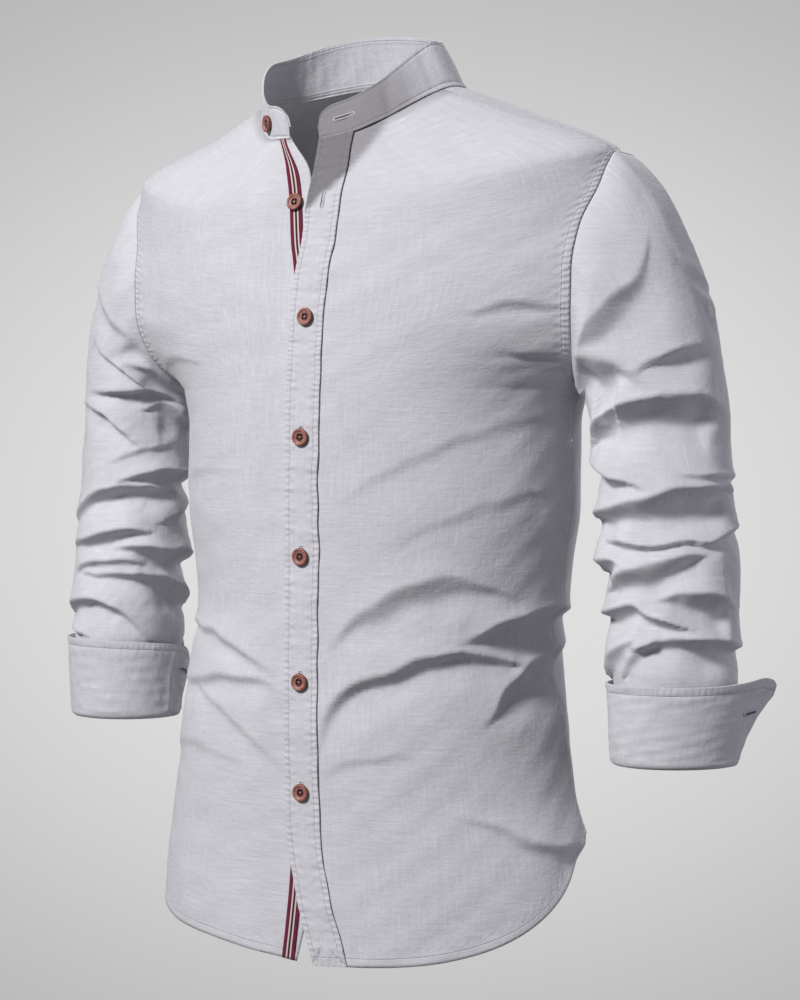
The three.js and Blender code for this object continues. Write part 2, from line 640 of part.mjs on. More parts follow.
function dropAtHeight(height) {
  let high = 0;
  let low = frontLength;
  for (let step = 0; step < 40; step += 1) {
    const middle = (high + low) / 2;
    if (bodyRing(middle).frontZ > height) high = middle;
    else low = middle;
  }
  return high;
}
function buttonSeat(x, height, distance) {
  const drop = dropAtHeight(height);
  const ring = bodyRing(drop);
  const angle = THREE.MathUtils.radToDeg(Math.asin((x - ring.middleX) / ring.halfWidth));
  const normal = facing(bodyPlace, angle, drop, 0.5, 1).negate();
  return { place: bodyPlace(angle, drop).addScaledVector(normal, distance), normal };
}

// Finishes
const finish = (color, roughness) => new THREE.MeshStandardMaterial({ color, roughness, metalness: 0 });
const linen = finish(0xd3d2d8, 0.9);
const tapeFinish = finish(0x6d1d33, 0.85);
const buttonFinish = finish(0x9a4a33, 0.45);

const shirt = new THREE.Group();
function addPiece(name, geometry, material) {
  const mesh = new THREE.Mesh(geometry, material);
  mesh.name = name;
  shirt.add(mesh);
  return mesh;
}
addPiece('front_left', leftFront(), linen);
addPiece('front_right', rightFront(), linen);
addPiece('back', backPanel(), linen);
addPiece('placket_band', placketBand(), linen);
addPiece('placket_tape', stripedTape(), tapeFinish);
addPiece('collar', collarBand(), linen);
addPiece('sleeve_left', sleeve(arms.left), linen);
addPiece('sleeve_right', sleeve(arms.right), linen);
addPiece('cuff_left', turnedCuff(arms.left, leftCuffEnd), linen);
addPiece('cuff_right', turnedCuff(arms.right, rightCuffEnd), linen);

function addButton(name, { place, normal }) {
  const mesh = addPiece(name, buttonGeometry(), buttonFinish);
  mesh.position.copy(settle(place.clone()));
  mesh.quaternion.setFromUnitVectors(new THREE.Vector3(0, 1, 0), normal);
}
placketButtonHeights.forEach((height, index) => {
  const x = frontLine(height).leftEdge + bandWidth / 2;
  addButton(`button_placket_${index + 1}`, buttonSeat(x, height, 2 * seamGap + bandWall));
});
addButton('button_tape', buttonSeat(
  frontLine(tapeButtonHeight).tapeCentre, tapeButtonHeight, 2 * seamGap + tapeWall - underlap));
const collarNormal = collarFacing(collarButtonPlace.rise, collarButtonPlace.angle);
addButton('button_collar', {
  place: collarPlace(collarButtonPlace.angle, collarButtonPlace.rise)
    .addScaledVector(collarNormal, seamGap),
  normal: collarNormal,
});

export default shirt;
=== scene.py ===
import math

import bmesh
import bpy
import numpy as np
from mathutils import Matrix, Vector


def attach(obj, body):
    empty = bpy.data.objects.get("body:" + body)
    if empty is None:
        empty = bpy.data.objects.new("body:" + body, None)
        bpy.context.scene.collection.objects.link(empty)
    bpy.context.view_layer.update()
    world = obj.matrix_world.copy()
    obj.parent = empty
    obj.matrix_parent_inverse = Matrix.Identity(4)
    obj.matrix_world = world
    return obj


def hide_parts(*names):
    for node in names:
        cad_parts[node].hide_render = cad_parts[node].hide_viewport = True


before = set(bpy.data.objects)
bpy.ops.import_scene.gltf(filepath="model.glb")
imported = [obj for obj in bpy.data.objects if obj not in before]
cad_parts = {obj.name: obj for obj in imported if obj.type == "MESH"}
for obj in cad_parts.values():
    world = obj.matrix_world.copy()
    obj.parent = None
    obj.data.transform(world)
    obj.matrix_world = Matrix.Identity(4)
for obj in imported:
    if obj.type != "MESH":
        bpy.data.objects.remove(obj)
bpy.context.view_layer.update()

# Sizes are in millimetres until a mesh is filled. +Z up, the front faces -Y, the wearer's left is +X.
# An angle round the body is 0 at centre front and 90 at the wearer's left side.


# Small maths

def hermite(t, start, end, out, into):
    return (start * (2 * t**3 - 3 * t**2 + 1) + out * (t**3 - 2 * t**2 + t)
            + end * (3 * t**2 - 2 * t**3) + into * (t**3 - t**2))


# A smooth curve through the rows of a table, without overshoot
def tableCurve(columns, rows):
    rows = np.array(rows, float)
    keys = rows[:, 0]
    slopes = np.diff(rows[:, 1:], axis=0) / np.diff(keys)[:, None]
    tangents = np.zeros_like(rows[:, 1:])
    tangents[0], tangents[-1] = slopes[0], slopes[-1]
    before, after = slopes[:-1], slopes[1:]
    sameWay = before * after > 0
    tangents[1:-1] = np.where(sameWay, 2 * before * after / np.where(sameWay, before + after, 1), 0)

    def curve(key):
        key = np.asarray(key, float)
        index = np.clip(np.searchsorted(keys, key, side="left") - 1, 0, len(keys) - 2)
        step = (keys[index + 1] - keys[index])[..., None]
        t = np.clip((key - keys[index]) / step[..., 0], 0, 1)[..., None]
        start, end = rows[index][..., 1:], rows[index + 1][..., 1:]
        out, into = tangents[index] * step, tangents[index + 1] * step
        return dict(zip(columns[1:], np.moveaxis(hermite(t, start, end, out, into), -1, 0)))

    return curve


def ease(value, low, high):
    t = np.clip((value - low) / (high - low), 0, 1)
    return t * t * (3 - 2 * t)


def gauss(distance, spread):
    return np.exp(-((distance / spread) ** 2))


def mix(low, high, share):
    return low + (high - low) * share


def sinOf(angle):
    return np.sin(np.radians(angle))


def cosOf(angle):
    return np.cos(np.radians(angle))


def turned(angle):
    return np.mod(angle + 180, 360) - 180


def point(x, y, z):
    return np.stack(np.broadcast_arrays(x, y, z), -1).astype(float)


def unit(vector):
    return vector / np.maximum(np.linalg.norm(vector, axis=-1, keepdims=True), 1e-9)


# How much lower an edge lies where its corner is rounded off
def cornerCut(corner, nearEnd):
    return corner - np.sqrt(corner**2 - np.clip(corner - np.maximum(nearEnd, 0), 0, corner) ** 2)


def facing(surface, first, second, firstStep, secondStep):
    alongFirst = surface(first + firstStep, second) - surface(first - firstStep, second)
    alongSecond = surface(first, second + secondStep) - surface(first, second - secondStep)
    return unit(np.cross(alongSecond, alongFirst))


# Soft uneven waves about one size long, mostly from -1 to 1
def ripple(x, y, size, seed, waves=7):
    chance = np.random.default_rng(seed)
    total = 0
    for _ in range(waves):
        direction = chance.uniform(0, math.pi)
        length = size * chance.uniform(0.7, 1.7)
        phase = chance.uniform(0, 2 * math.pi)
        along = x * math.cos(direction) + y * math.sin(direction)
        total = total + np.sin(along * 2 * math.pi / length + phase)
    return total / math.sqrt(waves * 2)


# Creases. Each has a steep side that faces down, between a ridge on its upper edge and a trough on its
# lower edge. A row is an angle, a height and how wide the steep side is. Paths run to growing angles.

creases = {"deepest": 21, "ridge": 0.45, "reach": 9, "hollow": 0.6, "bend": 1.6, "thinnest": 1.2}


def crease(steep, path, reach=creases["reach"], ridge=creases["ridge"]):
    return {"steep": steep, "path": path, "reach": reach, "ridge": ridge}


def creaseShape(row, scale, px, py, wide, x, y):
    nearest = np.full(x.shape, 1e9)
    signed, width, beyond = np.zeros_like(x), np.ones_like(x), np.zeros_like(x)
    last = len(px) - 2
    for index in range(last + 1):
        stepX, stepY = px[index + 1] - px[index], py[index + 1] - py[index]
        length = math.hypot(stepX, stepY) + 1e-6
        offX, offY = x - px[index], y - py[index]
        t = (offX * stepX + offY * stepY) / length**2
        inside = np.clip(t, 0, 1)
        distance = np.hypot(offX - inside * stepX, offY - inside * stepY)
        side = np.where(stepX * offY - stepY * offX >= 0, 1, -1)
        past = np.maximum(-t if index == 0 else t - 1 if index == last else 0, 0) * length
        closer = distance < nearest
        nearest = np.where(closer, distance, nearest)
        signed = np.where(closer, side * distance, signed)
        width = np.where(closer, mix(wide[index], wide[index + 1], inside), width)
        beyond = np.where(closer, past, beyond)
    half = width / 2
    size = creases["deepest"] * np.tanh(row["steep"] * width * scale / creases["deepest"])
    up, down = size * row["ridge"], size * (1 - row["ridge"])
    reach = row["reach"] + 0.6 * width
    above = up * np.exp(-np.maximum(signed - half, 0) / reach)
    below = -down * gauss(np.maximum(-signed - half, 0), reach)
    hollow = np.clip((signed + half) / width, 0, 1) ** 2
    between = mix(-down, up, mix(ease(signed, -half, half), hollow, creases["hollow"]))
    rise = np.where(signed > half, above, np.where(signed < -half, below, between))
    return rise * gauss(beyond, 6 + width)


def creaseMap(table, scale, across, low, high, seed):
    columns = round(360 * across)
    step = 360 * across / columns
    rise = np.zeros((int(high - low) + 1, columns))
    for row in table:
        rows = np.array(row["path"], float)
        rows[:, 0] *= across
        share = np.linspace(0, len(rows) - 1, 5 * (len(rows) - 1) + 1)
        path = tableCurve(["t", "x", "y", "wide"], np.column_stack([np.arange(len(rows)), rows]))(share)
        margin = 2.6 * (row["reach"] + rows[:, 2].max())
        left, right = int((path["x"].min() - margin) / step), int((path["x"].max() + margin) / step)
        right = min(right, left + columns)
        bottom = int(np.clip(path["y"].min() - margin - low, 0, len(rise) - 2))
        top = int(np.clip(path["y"].max() + margin - low, bottom + 1, len(rise) - 1))
        x, y = np.meshgrid(np.arange(left, right) * step, np.arange(bottom, top) + low)
        bentX = x + creases["bend"] * ripple(x, y, 45, seed + 1)
        bentY = y + creases["bend"] * ripple(x, y, 38, seed + 2)
        wide = np.maximum(path["wide"], creases["thinnest"])
        shape = creaseShape(row, scale, path["x"], path["y"], wide, bentX, bentY)
        rise[bottom:top, np.arange(left, right) % columns] += shape

    def sample(angle, height):
        column = np.mod(np.asarray(angle) * across / step, columns)
        row = np.clip(height - low, 0, len(rise) - 1.001)
        left, bottom = np.floor(column).astype(int) % columns, np.floor(row).astype(int)
        partX, partY = column - np.floor(column), row - bottom
        right = (left + 1) % columns
        lower = mix(rise[bottom, left], rise[bottom, right], partX)
        upper = mix(rise[bottom + 1, left], rise[bottom + 1, right], partX)
        return mix(lower, upper, partY)

    return sample


# Making a piece: a grid is laid on a surface, row by row

def addObject(name, data):
    thing = bpy.data.objects.new(name, data)
    bpy.context.scene.collection.objects.link(thing)
    return thing


def meshFrom(form, name):
    mesh = bpy.data.meshes.new(name)
    form.to_mesh(mesh)
    form.free()
    return mesh


def layGrid(name, columns, rows, surface, closed=False):
    form = bmesh.new()
    form.loops.layers.uv.new("cloth")
    bmesh.ops.create_grid(form, x_segments=columns, y_segments=rows, size=0.5, calc_uvs=True)
    bmesh.ops.translate(form, verts=form.verts, vec=(0.5, 0.5, 0))
    mesh = meshFrom(form, name)
    flat = np.empty(len(mesh.vertices) * 3)
    mesh.vertices.foreach_get("co", flat)
    flat = flat.reshape(-1, 3)
    u, v = flat[:, 0], flat[:, 1]
    laid = surface(u, v)
    places = laid["place"] * 0.001
    mesh.vertices.foreach_set("co", places.ravel())
    corners = np.empty(len(mesh.loops), int)
    mesh.loops.foreach_get("vertex_index", corners)
    cloth = np.stack(np.broadcast_arrays(laid["clothX"], laid["clothY"]), -1) / 100
    mesh.uv_layers["cloth"].data.foreach_set("uv", cloth[corners].ravel())
    # The shade attribute carries painted shade; a piece that gives none is left unshaded
    for key, usual in (("seam", 9.0), ("run", 0.0), ("shade", 0.0), ("gather", 0.5)):
        attribute = mesh.attributes.new(key, "FLOAT", "POINT")
        values = np.broadcast_to(laid.get(key, usual), u.shape)
        attribute.data.foreach_set("value", values.astype(np.float32))
    grid = places.reshape(rows + 1, columns + 1, 3)
    across = grid[rows // 2, columns // 2 + 1] - grid[rows // 2, columns // 2]
    down = grid[rows // 2 + 1, columns // 2] - grid[rows // 2, columns // 2]
    middle = (rows // 2) * (columns + 1) + columns // 2
    inwardFaces = np.dot(np.cross(across, down), laid["outward"][middle]) < 0
    if inwardFaces or closed:
        form = bmesh.new()
        form.from_mesh(mesh)
        if inwardFaces:
            bmesh.ops.reverse_faces(form, faces=form.faces)
        if closed:
            bmesh.ops.remove_doubles(form, verts=form.verts, dist=0.00005)
        form.to_mesh(mesh)
        form.free()
    mesh.shade_smooth()
    return addObject(name, mesh)


# The wall grows inwards from the laid surface
def thicken(piece, thickness, rounded=0):
    wall = piece.modifiers.new("wall", "SOLIDIFY")
    wall.thickness = thickness * 0.001
    wall.offset = -1
    wall.use_even_offset = True
    wall.use_quality_normals = True
    if rounded:
        edge = piece.modifiers.new("edge", "BEVEL")
        edge.width = rounded * 0.001
        edge.segments = 2
        edge.limit_method = "ANGLE"
        edge.angle_limit = math.radians(50)


def onRoot(piece, slotName, material, *nodes):
    piece.data.materials.clear()
    piece.data.materials.append(material)
    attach(piece, "root")
    if nodes:
        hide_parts(*nodes)
    return piece


# Camera: at the photograph's angle, a little to the wearer's left and level with the chest

view = {"azimuth": 30, "distance": 2600, "height": -258, "aside": 15.25, "tilt": 1.867, "lens": 110.4}


def makeCamera():
    data = bpy.data.cameras.new("camera")
    data.lens = view["lens"]
    data.sensor_width = 36
    data.clip_end = 60
    camera = addObject("camera", data)
    turn = math.radians(view["azimuth"])
    back = Vector((math.sin(turn), -math.cos(turn), 0))
    right = Vector((math.cos(turn), math.sin(turn), 0))
    away = back * view["distance"] + right * view["aside"]
    camera.location = (away + Vector((0, 0, view["height"]))) / 1000
    camera.rotation_euler = (math.radians(90 - view["tilt"]), 0, turn)
    bpy.context.scene.camera = camera


makeCamera()
print("camera ready")


# Materials. A Value wraps a socket, so that sums on masks can be written out.

def operator(operation, swapped=False):
    return lambda self, other: self.join(operation, other, swapped)


class Value:
    __add__, __radd__ = operator("ADD"), operator("ADD", True)
    __sub__, __rsub__ = operator("SUBTRACT"), operator("SUBTRACT", True)
    __mul__, __rmul__ = operator("MULTIPLY"), operator("MULTIPLY", True)
    __truediv__ = operator("DIVIDE")

    def __init__(self, shader, socket):
        self.shader, self.socket = shader, socket

    def join(self, operation, other, swapped):
        pair = [other, self] if swapped else [self, other]
        return self.shader.node("ShaderNodeMath", {"operation": operation}, dict(enumerate(pair)))

    def waves(self, length):
        return self.shader.node("ShaderNodeMath", {"operation": "SINE"}, {0: self * (2 * math.pi / length)})

    def between(self, low, high, softness):
        return self.rise(low - softness, low + softness) * (1 - self.rise(high - softness, high + softness))

    def rise(self, low, high):
        settings = {"interpolation_type": "SMOOTHSTEP"}
        values = {"Value": self, "From Min": low, "From Max": high}
        return self.shader.node("ShaderNodeMapRange", settings, values)


class Shader:
    def __init__(self, name, **constants):
        self.material = bpy.data.materials.new(name)
        self.material.use_nodes = True
        self.tree = self.material.node_tree
        self.surface = self.tree.nodes["Principled BSDF"]
        for key, value in constants.items():
            self.surface.inputs[key.replace("_", " ")].default_value = value

    def node(self, kind, settings, values, out=0):
        made = self.tree.nodes.new(kind)
        for key, value in settings.items():
            setattr(made, key, value)
        for key, value in values.items():
            self.feed(made.inputs[key], value)
        return Value(self, made.outputs[out])

    def feed(self, socket, value):
        if isinstance(value, Value):
            self.tree.links.new(value.socket, socket)
        else:
            socket.default_value = value

    def attribute(self, name):
        return self.node("ShaderNodeAttribute", {"attribute_name": name}, {}, "Fac")

    def clothPlace(self):
        return self.node("ShaderNodeUVMap", {"uv_map": "cloth"}, {})

    def objectPlace(self):
        return self.node("ShaderNodeTexCoord", {}, {}, "Object")

    def vector(self, operation, *values, out=0):
        return self.node("ShaderNodeVectorMath", {"operation": operation}, dict(enumerate(values)), out)

    def mixColours(self, share, first, second):
        return self.node("ShaderNodeMix", {"data_type": "RGBA"}, {0: share, 6: first, 7: second}, 2)

    def noise(self, vector, stretch, detail=2, rough=0.5):
        scaled = self.vector("MULTIPLY", vector, stretch)
        values = {"Vector": scaled, "Scale": 1, "Detail": detail, "Roughness": rough}
        return self.node("ShaderNodeTexNoise", {}, values)

    def bump(self, height, distance, strength, under=None):
        values = {"Height": height, "Distance": distance, "Strength": strength}
        if under is not None:
            values["Normal"] = under
        return self.node("ShaderNodeBump", {}, values)

    def finish(self, **links):
        for key, value in links.items():
            self.feed(self.surface.inputs[key.replace("_", " ")], value)
        return self.material


linen = {
    "shade": (0.535, 0.522, 0.562, 1), "light": (0.625, 0.615, 0.650, 1), "slub": (0.700, 0.693, 0.728, 1),
    "stitchShade": (0.300, 0.292, 0.320, 1), "paintedShadow": (0.10, 0.09, 0.105, 1),
    "roughness": 0.92, "sheen": 0.12, "stitchDarkness": 0.38, "stitchLength": 2.6, "gatherLength": 5.2,
    "dragLength": 8.5,
    "weaveDepth": 0.0007, "seamDepth": 0.0006,
}


def linenMaterial():
    shader = Shader("slubLinen", Roughness=linen["roughness"], Sheen_Weight=linen["sheen"],
                    Sheen_Roughness=0.5, Specular_IOR_Level=0.25)
    cloth = shader.clothPlace()
    seam, run, shade, gather = [shader.attribute(name) for name in ("seam", "run", "shade", "gather")]
    weft = shader.noise(cloth, (3.6, 62, 1), 3, 0.6)
    warp = shader.noise(cloth, (56, 3.2, 1), 3, 0.6)
    crinkle = shader.noise(cloth, (15, 19, 1), 4, 0.62)
    patch = shader.noise(cloth, (1.3, 1.0, 1)).rise(0.38, 0.62)
    grain = shader.noise(cloth, (70, 70, 1), 2, 0.6)
    cloud = shader.noise(cloth, (3.2, 3.8, 1), 3, 0.55)
    across, upright = (weft - 0.5) * (patch * 0.55 + 0.15), (warp - 0.5) * (0.7 - patch * 0.55)
    tone = across + upright + cloud * 0.3 + crinkle * 0.25
    slubs = (weft.rise(0.62, 0.76) * patch + warp.rise(0.62, 0.76) * (1 - patch)) * cloud.rise(0.35, 0.6)
    colour = shader.mixColours(tone.rise(0.02, 0.55), linen["shade"], linen["light"])
    colour = shader.mixColours(slubs, colour, linen["slub"])
    # Painted shade: the shade attribute mixes the colour towards the painted shadow colour
    colour = shader.mixColours(shade, colour, linen["paintedShadow"])
    # Painted shade in the stitch grooves: the dashed stitch lines are darkened towards the stitch shade
    # colour
    groove = seam.between(0.93, 1.07, 0.05)
    dash = run.waves(linen["stitchLength"]).rise(-0.6, 0.2)
    colour = shader.mixColours(groove * dash * linen["stitchDarkness"], colour, linen["stitchShade"])
    unevenRun = run + grain * 2 + cloud * 6
    gathers = unevenRun.waves(linen["gatherLength"]) * seam.between(-0.25, 1.15, 0.15)
    drag = unevenRun.waves(linen["dragLength"]) * seam.between(1.0, 2.4, 0.55)
    weave = weft * 0.4 + warp * 0.4 + grain * 0.3 + crinkle * 1.6
    height = (gathers * 0.5 + drag * 0.4) * gather - groove * 0.9
    sewn = shader.bump(height, linen["seamDepth"], 0.6, shader.bump(weave, linen["weaveDepth"], 0.5))
    return shader.finish(Base_Color=colour, Normal=sewn)


tape = {
    "edge": (0.190, 0.012, 0.050, 1), "shade": (0.105, 0.007, 0.028, 1), "cream": (0.62, 0.50, 0.46, 1),
    "dark": (0.018, 0.010, 0.020, 1), "width": 12,
}


def tapeMaterial():
    shader = Shader("stripedTape", Roughness=0.85, Sheen_Weight=0.1, Specular_IOR_Level=0.25)
    cloth = shader.clothPlace()
    across = shader.node("ShaderNodeSeparateXYZ", {}, {0: cloth}) * 100 / tape["width"]
    ribs = shader.noise(cloth, (20, 160, 1), 1)
    colour = shader.mixColours(ribs.rise(0.35, 0.7), tape["shade"], tape["edge"])
    stripes = across.between(0.29, 0.42, 0.015) + across.between(0.58, 0.71, 0.015)
    lines = across.between(0.42, 0.58, 0.015) + across.between(0.23, 0.29, 0.01)
    lines = lines + across.between(0.71, 0.77, 0.01)
    colour = shader.mixColours(stripes, colour, tape["cream"])
    colour = shader.mixColours(lines * 0.9, colour, tape["dark"])
    return shader.finish(Base_Color=colour, Normal=shader.bump(ribs + stripes * 0.2, 0.0003, 0.5))


wood = {
    "rim": ((0.170, 0.045, 0.030, 1), (0.400, 0.160, 0.115, 1)),
    "ring": ((0.230, 0.085, 0.065, 1), (0.420, 0.210, 0.170, 1)),
    "hollow": (0.060, 0.008, 0.008, 1), "centre": (0.300, 0.170, 0.130, 1), "edge": (0.060, 0.018, 0.012, 1),
}


def buttonMaterial():
    shader = Shader("buttonWood", Coat_Roughness=0.2, Specular_IOR_Level=0.5)
    place, out = shader.objectPlace(), shader.attribute("out")
    grain = shader.noise(place, (260, 260, 1500), 4, 0.6)
    blotch = shader.noise(place, (420, 420, 420))
    rim, ring = [shader.mixColours(grain.rise(0.3, 0.7), *wood[name]) for name in ("rim", "ring")]
    colour = shader.mixColours(out.rise(0.70, 0.80), ring, rim)
    colour = shader.mixColours(1 - out.rise(0.40, 0.54), colour, wood["hollow"])
    colour = shader.mixColours(1 - out.rise(0.08, 0.16), colour, wood["centre"])
    colour = shader.mixColours(out.rise(0.92, 1.0) * 0.7, colour, wood["edge"])
    rough = 0.34 + blotch * 0.2
    return shader.finish(Base_Color=colour, Roughness=rough, Normal=shader.bump(grain, 0.0002, 0.3))


slubLinen, stripedTape, buttonWood = linenMaterial(), tapeMaterial(), buttonMaterial()
print("materials ready")


# Body

body = {
    "shoulderDrop": 58, "underarmDrop": 248, "frontLength": 718, "across": 2.6,
    "wall": 1.0, "bandWidth": 31, "underlap": 3.9, "seamGap": 0.3, "bandWall": 1.6,
    "rows": (20, 72, 168), "armholeStitch": 7.0, "sideStitch": 3.0, "cover": 0.5, "hemRoll": 0.25,
}
panels = {
    "front_left": {"columns": 104, "gather": 1.3, "edge": "leftEdge", "side": 1},
    "front_right": {"columns": 104, "gather": 1.3, "edge": "rightEdge", "side": -1},
    "back": {"columns": 168, "gather": 0.9},
}
hem = {
    "rise": 104, "power": 2.9, "rightPower": 5, "rightArch": 14, "backFrom": 0.2, "backTo": 0.8, "stitch": 7,
}
shoulderSeam = {"neckAngle": 74, "tipAngle": 90}
rightNeckDip = {"depth": 14, "angle": -45, "spread": 20, "fade": 25}
underarmFlare = {"size": 5, "angle": 14, "fade": 8}
rightShoulder = {"lower": 11, "fromX": 30, "toX": 150, "fromDrop": 60, "toDrop": 270}

bodyRing = tableCurve(
    ["drop", "halfWidth", "middleX", "frontY", "sideY", "backY", "frontZ", "backZ", "backPower"],
    [
        [0, 89, 0, -100, -30, 36, -44, 10, 1],
        [20, 138, 0, -104, -24, 58, -64, 4, 1],
        [58, 226, 0, -113, -14, 94, -99, -33, 1],
        [90, 233, 0, -117, 0, 106, -124, -72, 1],
        [130, 230, 0, -122, 4, 116, -157, -118, 1],
        [180, 213, 0, -127, 4, 120, -198, -174, 1],
        [248, 183, 0, -131, 4, 122, -250, -247, 1],
        [280, 177, 0, -132, 4, 122, -280, -280, 1],
        [341, 177, 0, -132, 4, 122, -341, -341, 1],
        [391, 170, 0, -131, 4, 117, -391, -391, 1],
        [431, 165, 0, -131, 4, 113, -431, -431, 1],
        [463, 168, -4, -131, 4, 112, -463, -463, 1.1],
        [519, 177, -6, -131, 4, 114, -519, -519, 1.3],
        [577, 186, -6, -129, 4, 117, -577, -577, 1.5],
        [621, 195, -4, -128, 4, 118, -621, -621, 1.7],
        [670, 202, -3, -128, 4, 119, -670, -670, 1.7],
        [720, 205, -3, -127, 4, 119, -720, -720, 1.7],
    ],
)
frontLine = tableCurve(
    ["height", "leftEdge", "tapeCentre", "rightEdge"],
    [
        [-718, 9, -17, -9], [-650, -8, -8.5, 8], [-600, -15, -5, 14], [-258, -13, -4, 16],
        [-200, -12, -6, 12], [-165, -11, -6.5, 8], [-145, -8.5, -9.5, 6], [-130, -6, -13, 4],
        [-96, -4.5, -18, -2], [-70, -2, -25, -8], [-42, 0, -42, -33],
    ],
)
armholeRows = [
    [0, 226, -14, -58], [22, 225.5, -26, -66], [44, 223, -39, -86], [67, 213, -54, -119],
    [87, 210, -62, -153], [101, 209.5, -62, -177], [126, 204, -50, -215], [150, 194, -26, -239],
    [180, 188, 4, -248], [210, 191, 34, -238], [240, 201, 55, -205], [270, 208, 62, -158],
    [300, 217, 54, -108], [325, 224, 38, -77], [342, 226, 16, -59],
]
armholeCurve = tableCurve(
    ["angle", "x", "y", "z"],
    [[row[0] + turn, *row[1:]] for turn in (-360, 0, 360) for row in armholeRows])

bodyCreases = [
    # wearer's left front
    crease(0.36, [[12, -455, 3], [19, -437, 12], [28, -423, 18], [38, -413, 20], [47, -408, 15],
           [57, -412, 8], [65, -418, 3]], reach=12),
    crease(0.85, [[8.5, -532, 2], [11.5, -510, 6], [18, -492, 8.5], [30, -480, 9.5], [40, -470, 10.2],
           [50, -466, 8.5], [66, -472, 5]], reach=14),
    crease(0.75, [[51, -452, 2], [58, -447, 10], [70, -443, 19], [82, -438, 24], [98, -435, 13],
           [114, -433, 3]], reach=9),
    crease(0.55, [[57, -517, 3], [65, -497, 12], [78, -480, 20], [92, -472, 20], [108, -462, 6]]),
    crease(0.36, [[47, -597, 3], [57, -608, 8], [68, -622, 12], [80, -628, 14],
           [98, -624, 9]], reach=9, ridge=0.6),
    crease(0.45, [[42, -186, 4], [52, -182, 7.6], [65, -188, 4]]),
    crease(0.55, [[54, -219, 2], [64, -221, 6], [72, -224, 4]]),
    crease(0.16, [[13, -338, 4], [28, -314, 8], [48, -290, 10], [72, -274, 10]], reach=20),
    crease(0.16, [[30, -372, 4], [48, -350, 10], [70, -336, 12]], reach=20),
    crease(0.3, [[10, -560, 3], [20, -549, 5], [30, -545, 3]], reach=8),
    # wearer's right front
    crease(0.7, [[-72, -440, 4], [-62, -447, 5], [-35, -455, 7], [-19, -468, 6], [-10, -481, 2]]),
    crease(0.6, [[-60, -497, 4], [-46, -495, 5], [-28, -490, 7], [-18, -489, 7], [-10, -494, 5],
           [-4, -513, 2.5]]),
    crease(0.35, [[-50, -492, 4], [-20, -528, 6], [-4, -564, 2.5]]),
    crease(0.2, [[-70, -560, 4], [-48, -548, 9], [-22, -556, 3]], reach=18),
    crease(0.3, [[-62, -226, 4], [-50, -222, 6], [-38, -226, 3]]),
    crease(0.16, [[-66, -338, 4], [-46, -320, 8], [-22, -318, 3]], reach=18),
    # back
    crease(0.6, [[112, -428, 4], [130, -440, 11], [152, -458, 10], [174, -480, 3]], reach=13),
    crease(0.62, [[-172, -494, 3], [-152, -470, 10], [-132, -446, 12], [-112, -436, 4]], reach=13),
    crease(0.45, [[118, -520, 4], [142, -500, 10], [165, -502, 4]]),
    crease(0.45, [[-166, -530, 4], [-145, -512, 10], [-118, -510, 4]]),
    crease(0.35, [[128, -404, 3], [150, -408, 8], [176, -420, 3]]),
    crease(0.35, [[-178, -428, 3], [-158, -412, 8], [-130, -402, 3]]),
    crease(0.25, [[120, -250, 3], [136, -236, 8], [152, -240, 3]], reach=15),
    crease(0.25, [[-150, -244, 3], [-136, -238, 8], [-120, -252, 3]], reach=15),
    crease(0.16, [[170, -330, 4], [182, -322, 10], [196, -334, 4]], reach=22),
    crease(0.18, [[140, -610, 4], [160, -590, 10], [182, -596, 4]], reach=20),
]


# The right shoulder hangs a little lower than the left
def settle(places):
    share = (ease(-places[..., 0], rightShoulder["fromX"], rightShoulder["toX"])
             * (1 - ease(-places[..., 2], rightShoulder["fromDrop"], rightShoulder["toDrop"])))
    return places - point(0, 0, rightShoulder["lower"] * share)


def bodyForm(angle, drop):
    around = turned(angle)
    ring = bodyRing(drop)
    forward = cosOf(around)
    front = forward > 0
    reach = np.where(front, ring["frontY"], ring["backY"]) - ring["sideY"]
    middleZ = np.where(front, ring["frontZ"], ring["backZ"])
    power = np.where(front, 1, ring["backPower"])
    flare = (underarmFlare["size"] * gauss(abs(around) - 90, underarmFlare["angle"])
             * np.exp(-abs(drop - body["underarmDrop"]) / underarmFlare["fade"]))
    dip = (rightNeckDip["depth"] * gauss(around - rightNeckDip["angle"], rightNeckDip["spread"])
           * np.exp(-drop / rightNeckDip["fade"]))
    return point(ring["middleX"] + (ring["halfWidth"] + flare) * sinOf(around),
                 ring["sideY"] + reach * abs(forward) ** power,
                 -drop + (middleZ + drop) * forward**2 - dip)


bodyCreaseMap = creaseMap(bodyCreases, 1.25, body["across"], -740, 20, 1)


def bodyRise(angle, height):
    around = turned(angle)
    circle = 150 * point(cosOf(around), sinOf(around), 0)
    soft = 0.9 * ripple(circle[..., 0], circle[..., 1] + height, 95, 11)
    fine = 0.4 * ripple(circle[..., 0] + height * 0.6, circle[..., 1] - height, 42, 12)
    quiet = 1 - 0.6 * gauss(around + 2, 9)
    return quiet * (bodyCreaseMap(around, height) + (soft + fine) * ease(-height, 60, 160))


def bodyPlace(angle, drop):
    place = bodyForm(angle, drop)
    rise = bodyRise(angle, place[..., 2])
    return place + facing(bodyForm, angle, drop, 0.2, 0.2) * rise[..., None]


def armholePlace(angle, side):
    seam = armholeCurve(angle)
    return point(seam["x"] * side, seam["y"], seam["z"])


def hemDrop(angle):
    around = turned(angle)
    fromMiddle = np.minimum(abs(around), 180 - abs(around)) / 90
    leftFront = hem["rise"] * fromMiddle ** hem["power"]
    arch = hem["rightArch"] * np.sin(math.pi * fromMiddle)
    rightFront = hem["rise"] * fromMiddle ** hem["rightPower"] + arch
    back = hem["rise"] * ease(fromMiddle, hem["backFrom"], hem["backTo"])
    front = np.where(around >= 0, leftFront, rightFront)
    return body["frontLength"] - np.where(abs(around) > 90, back, front)


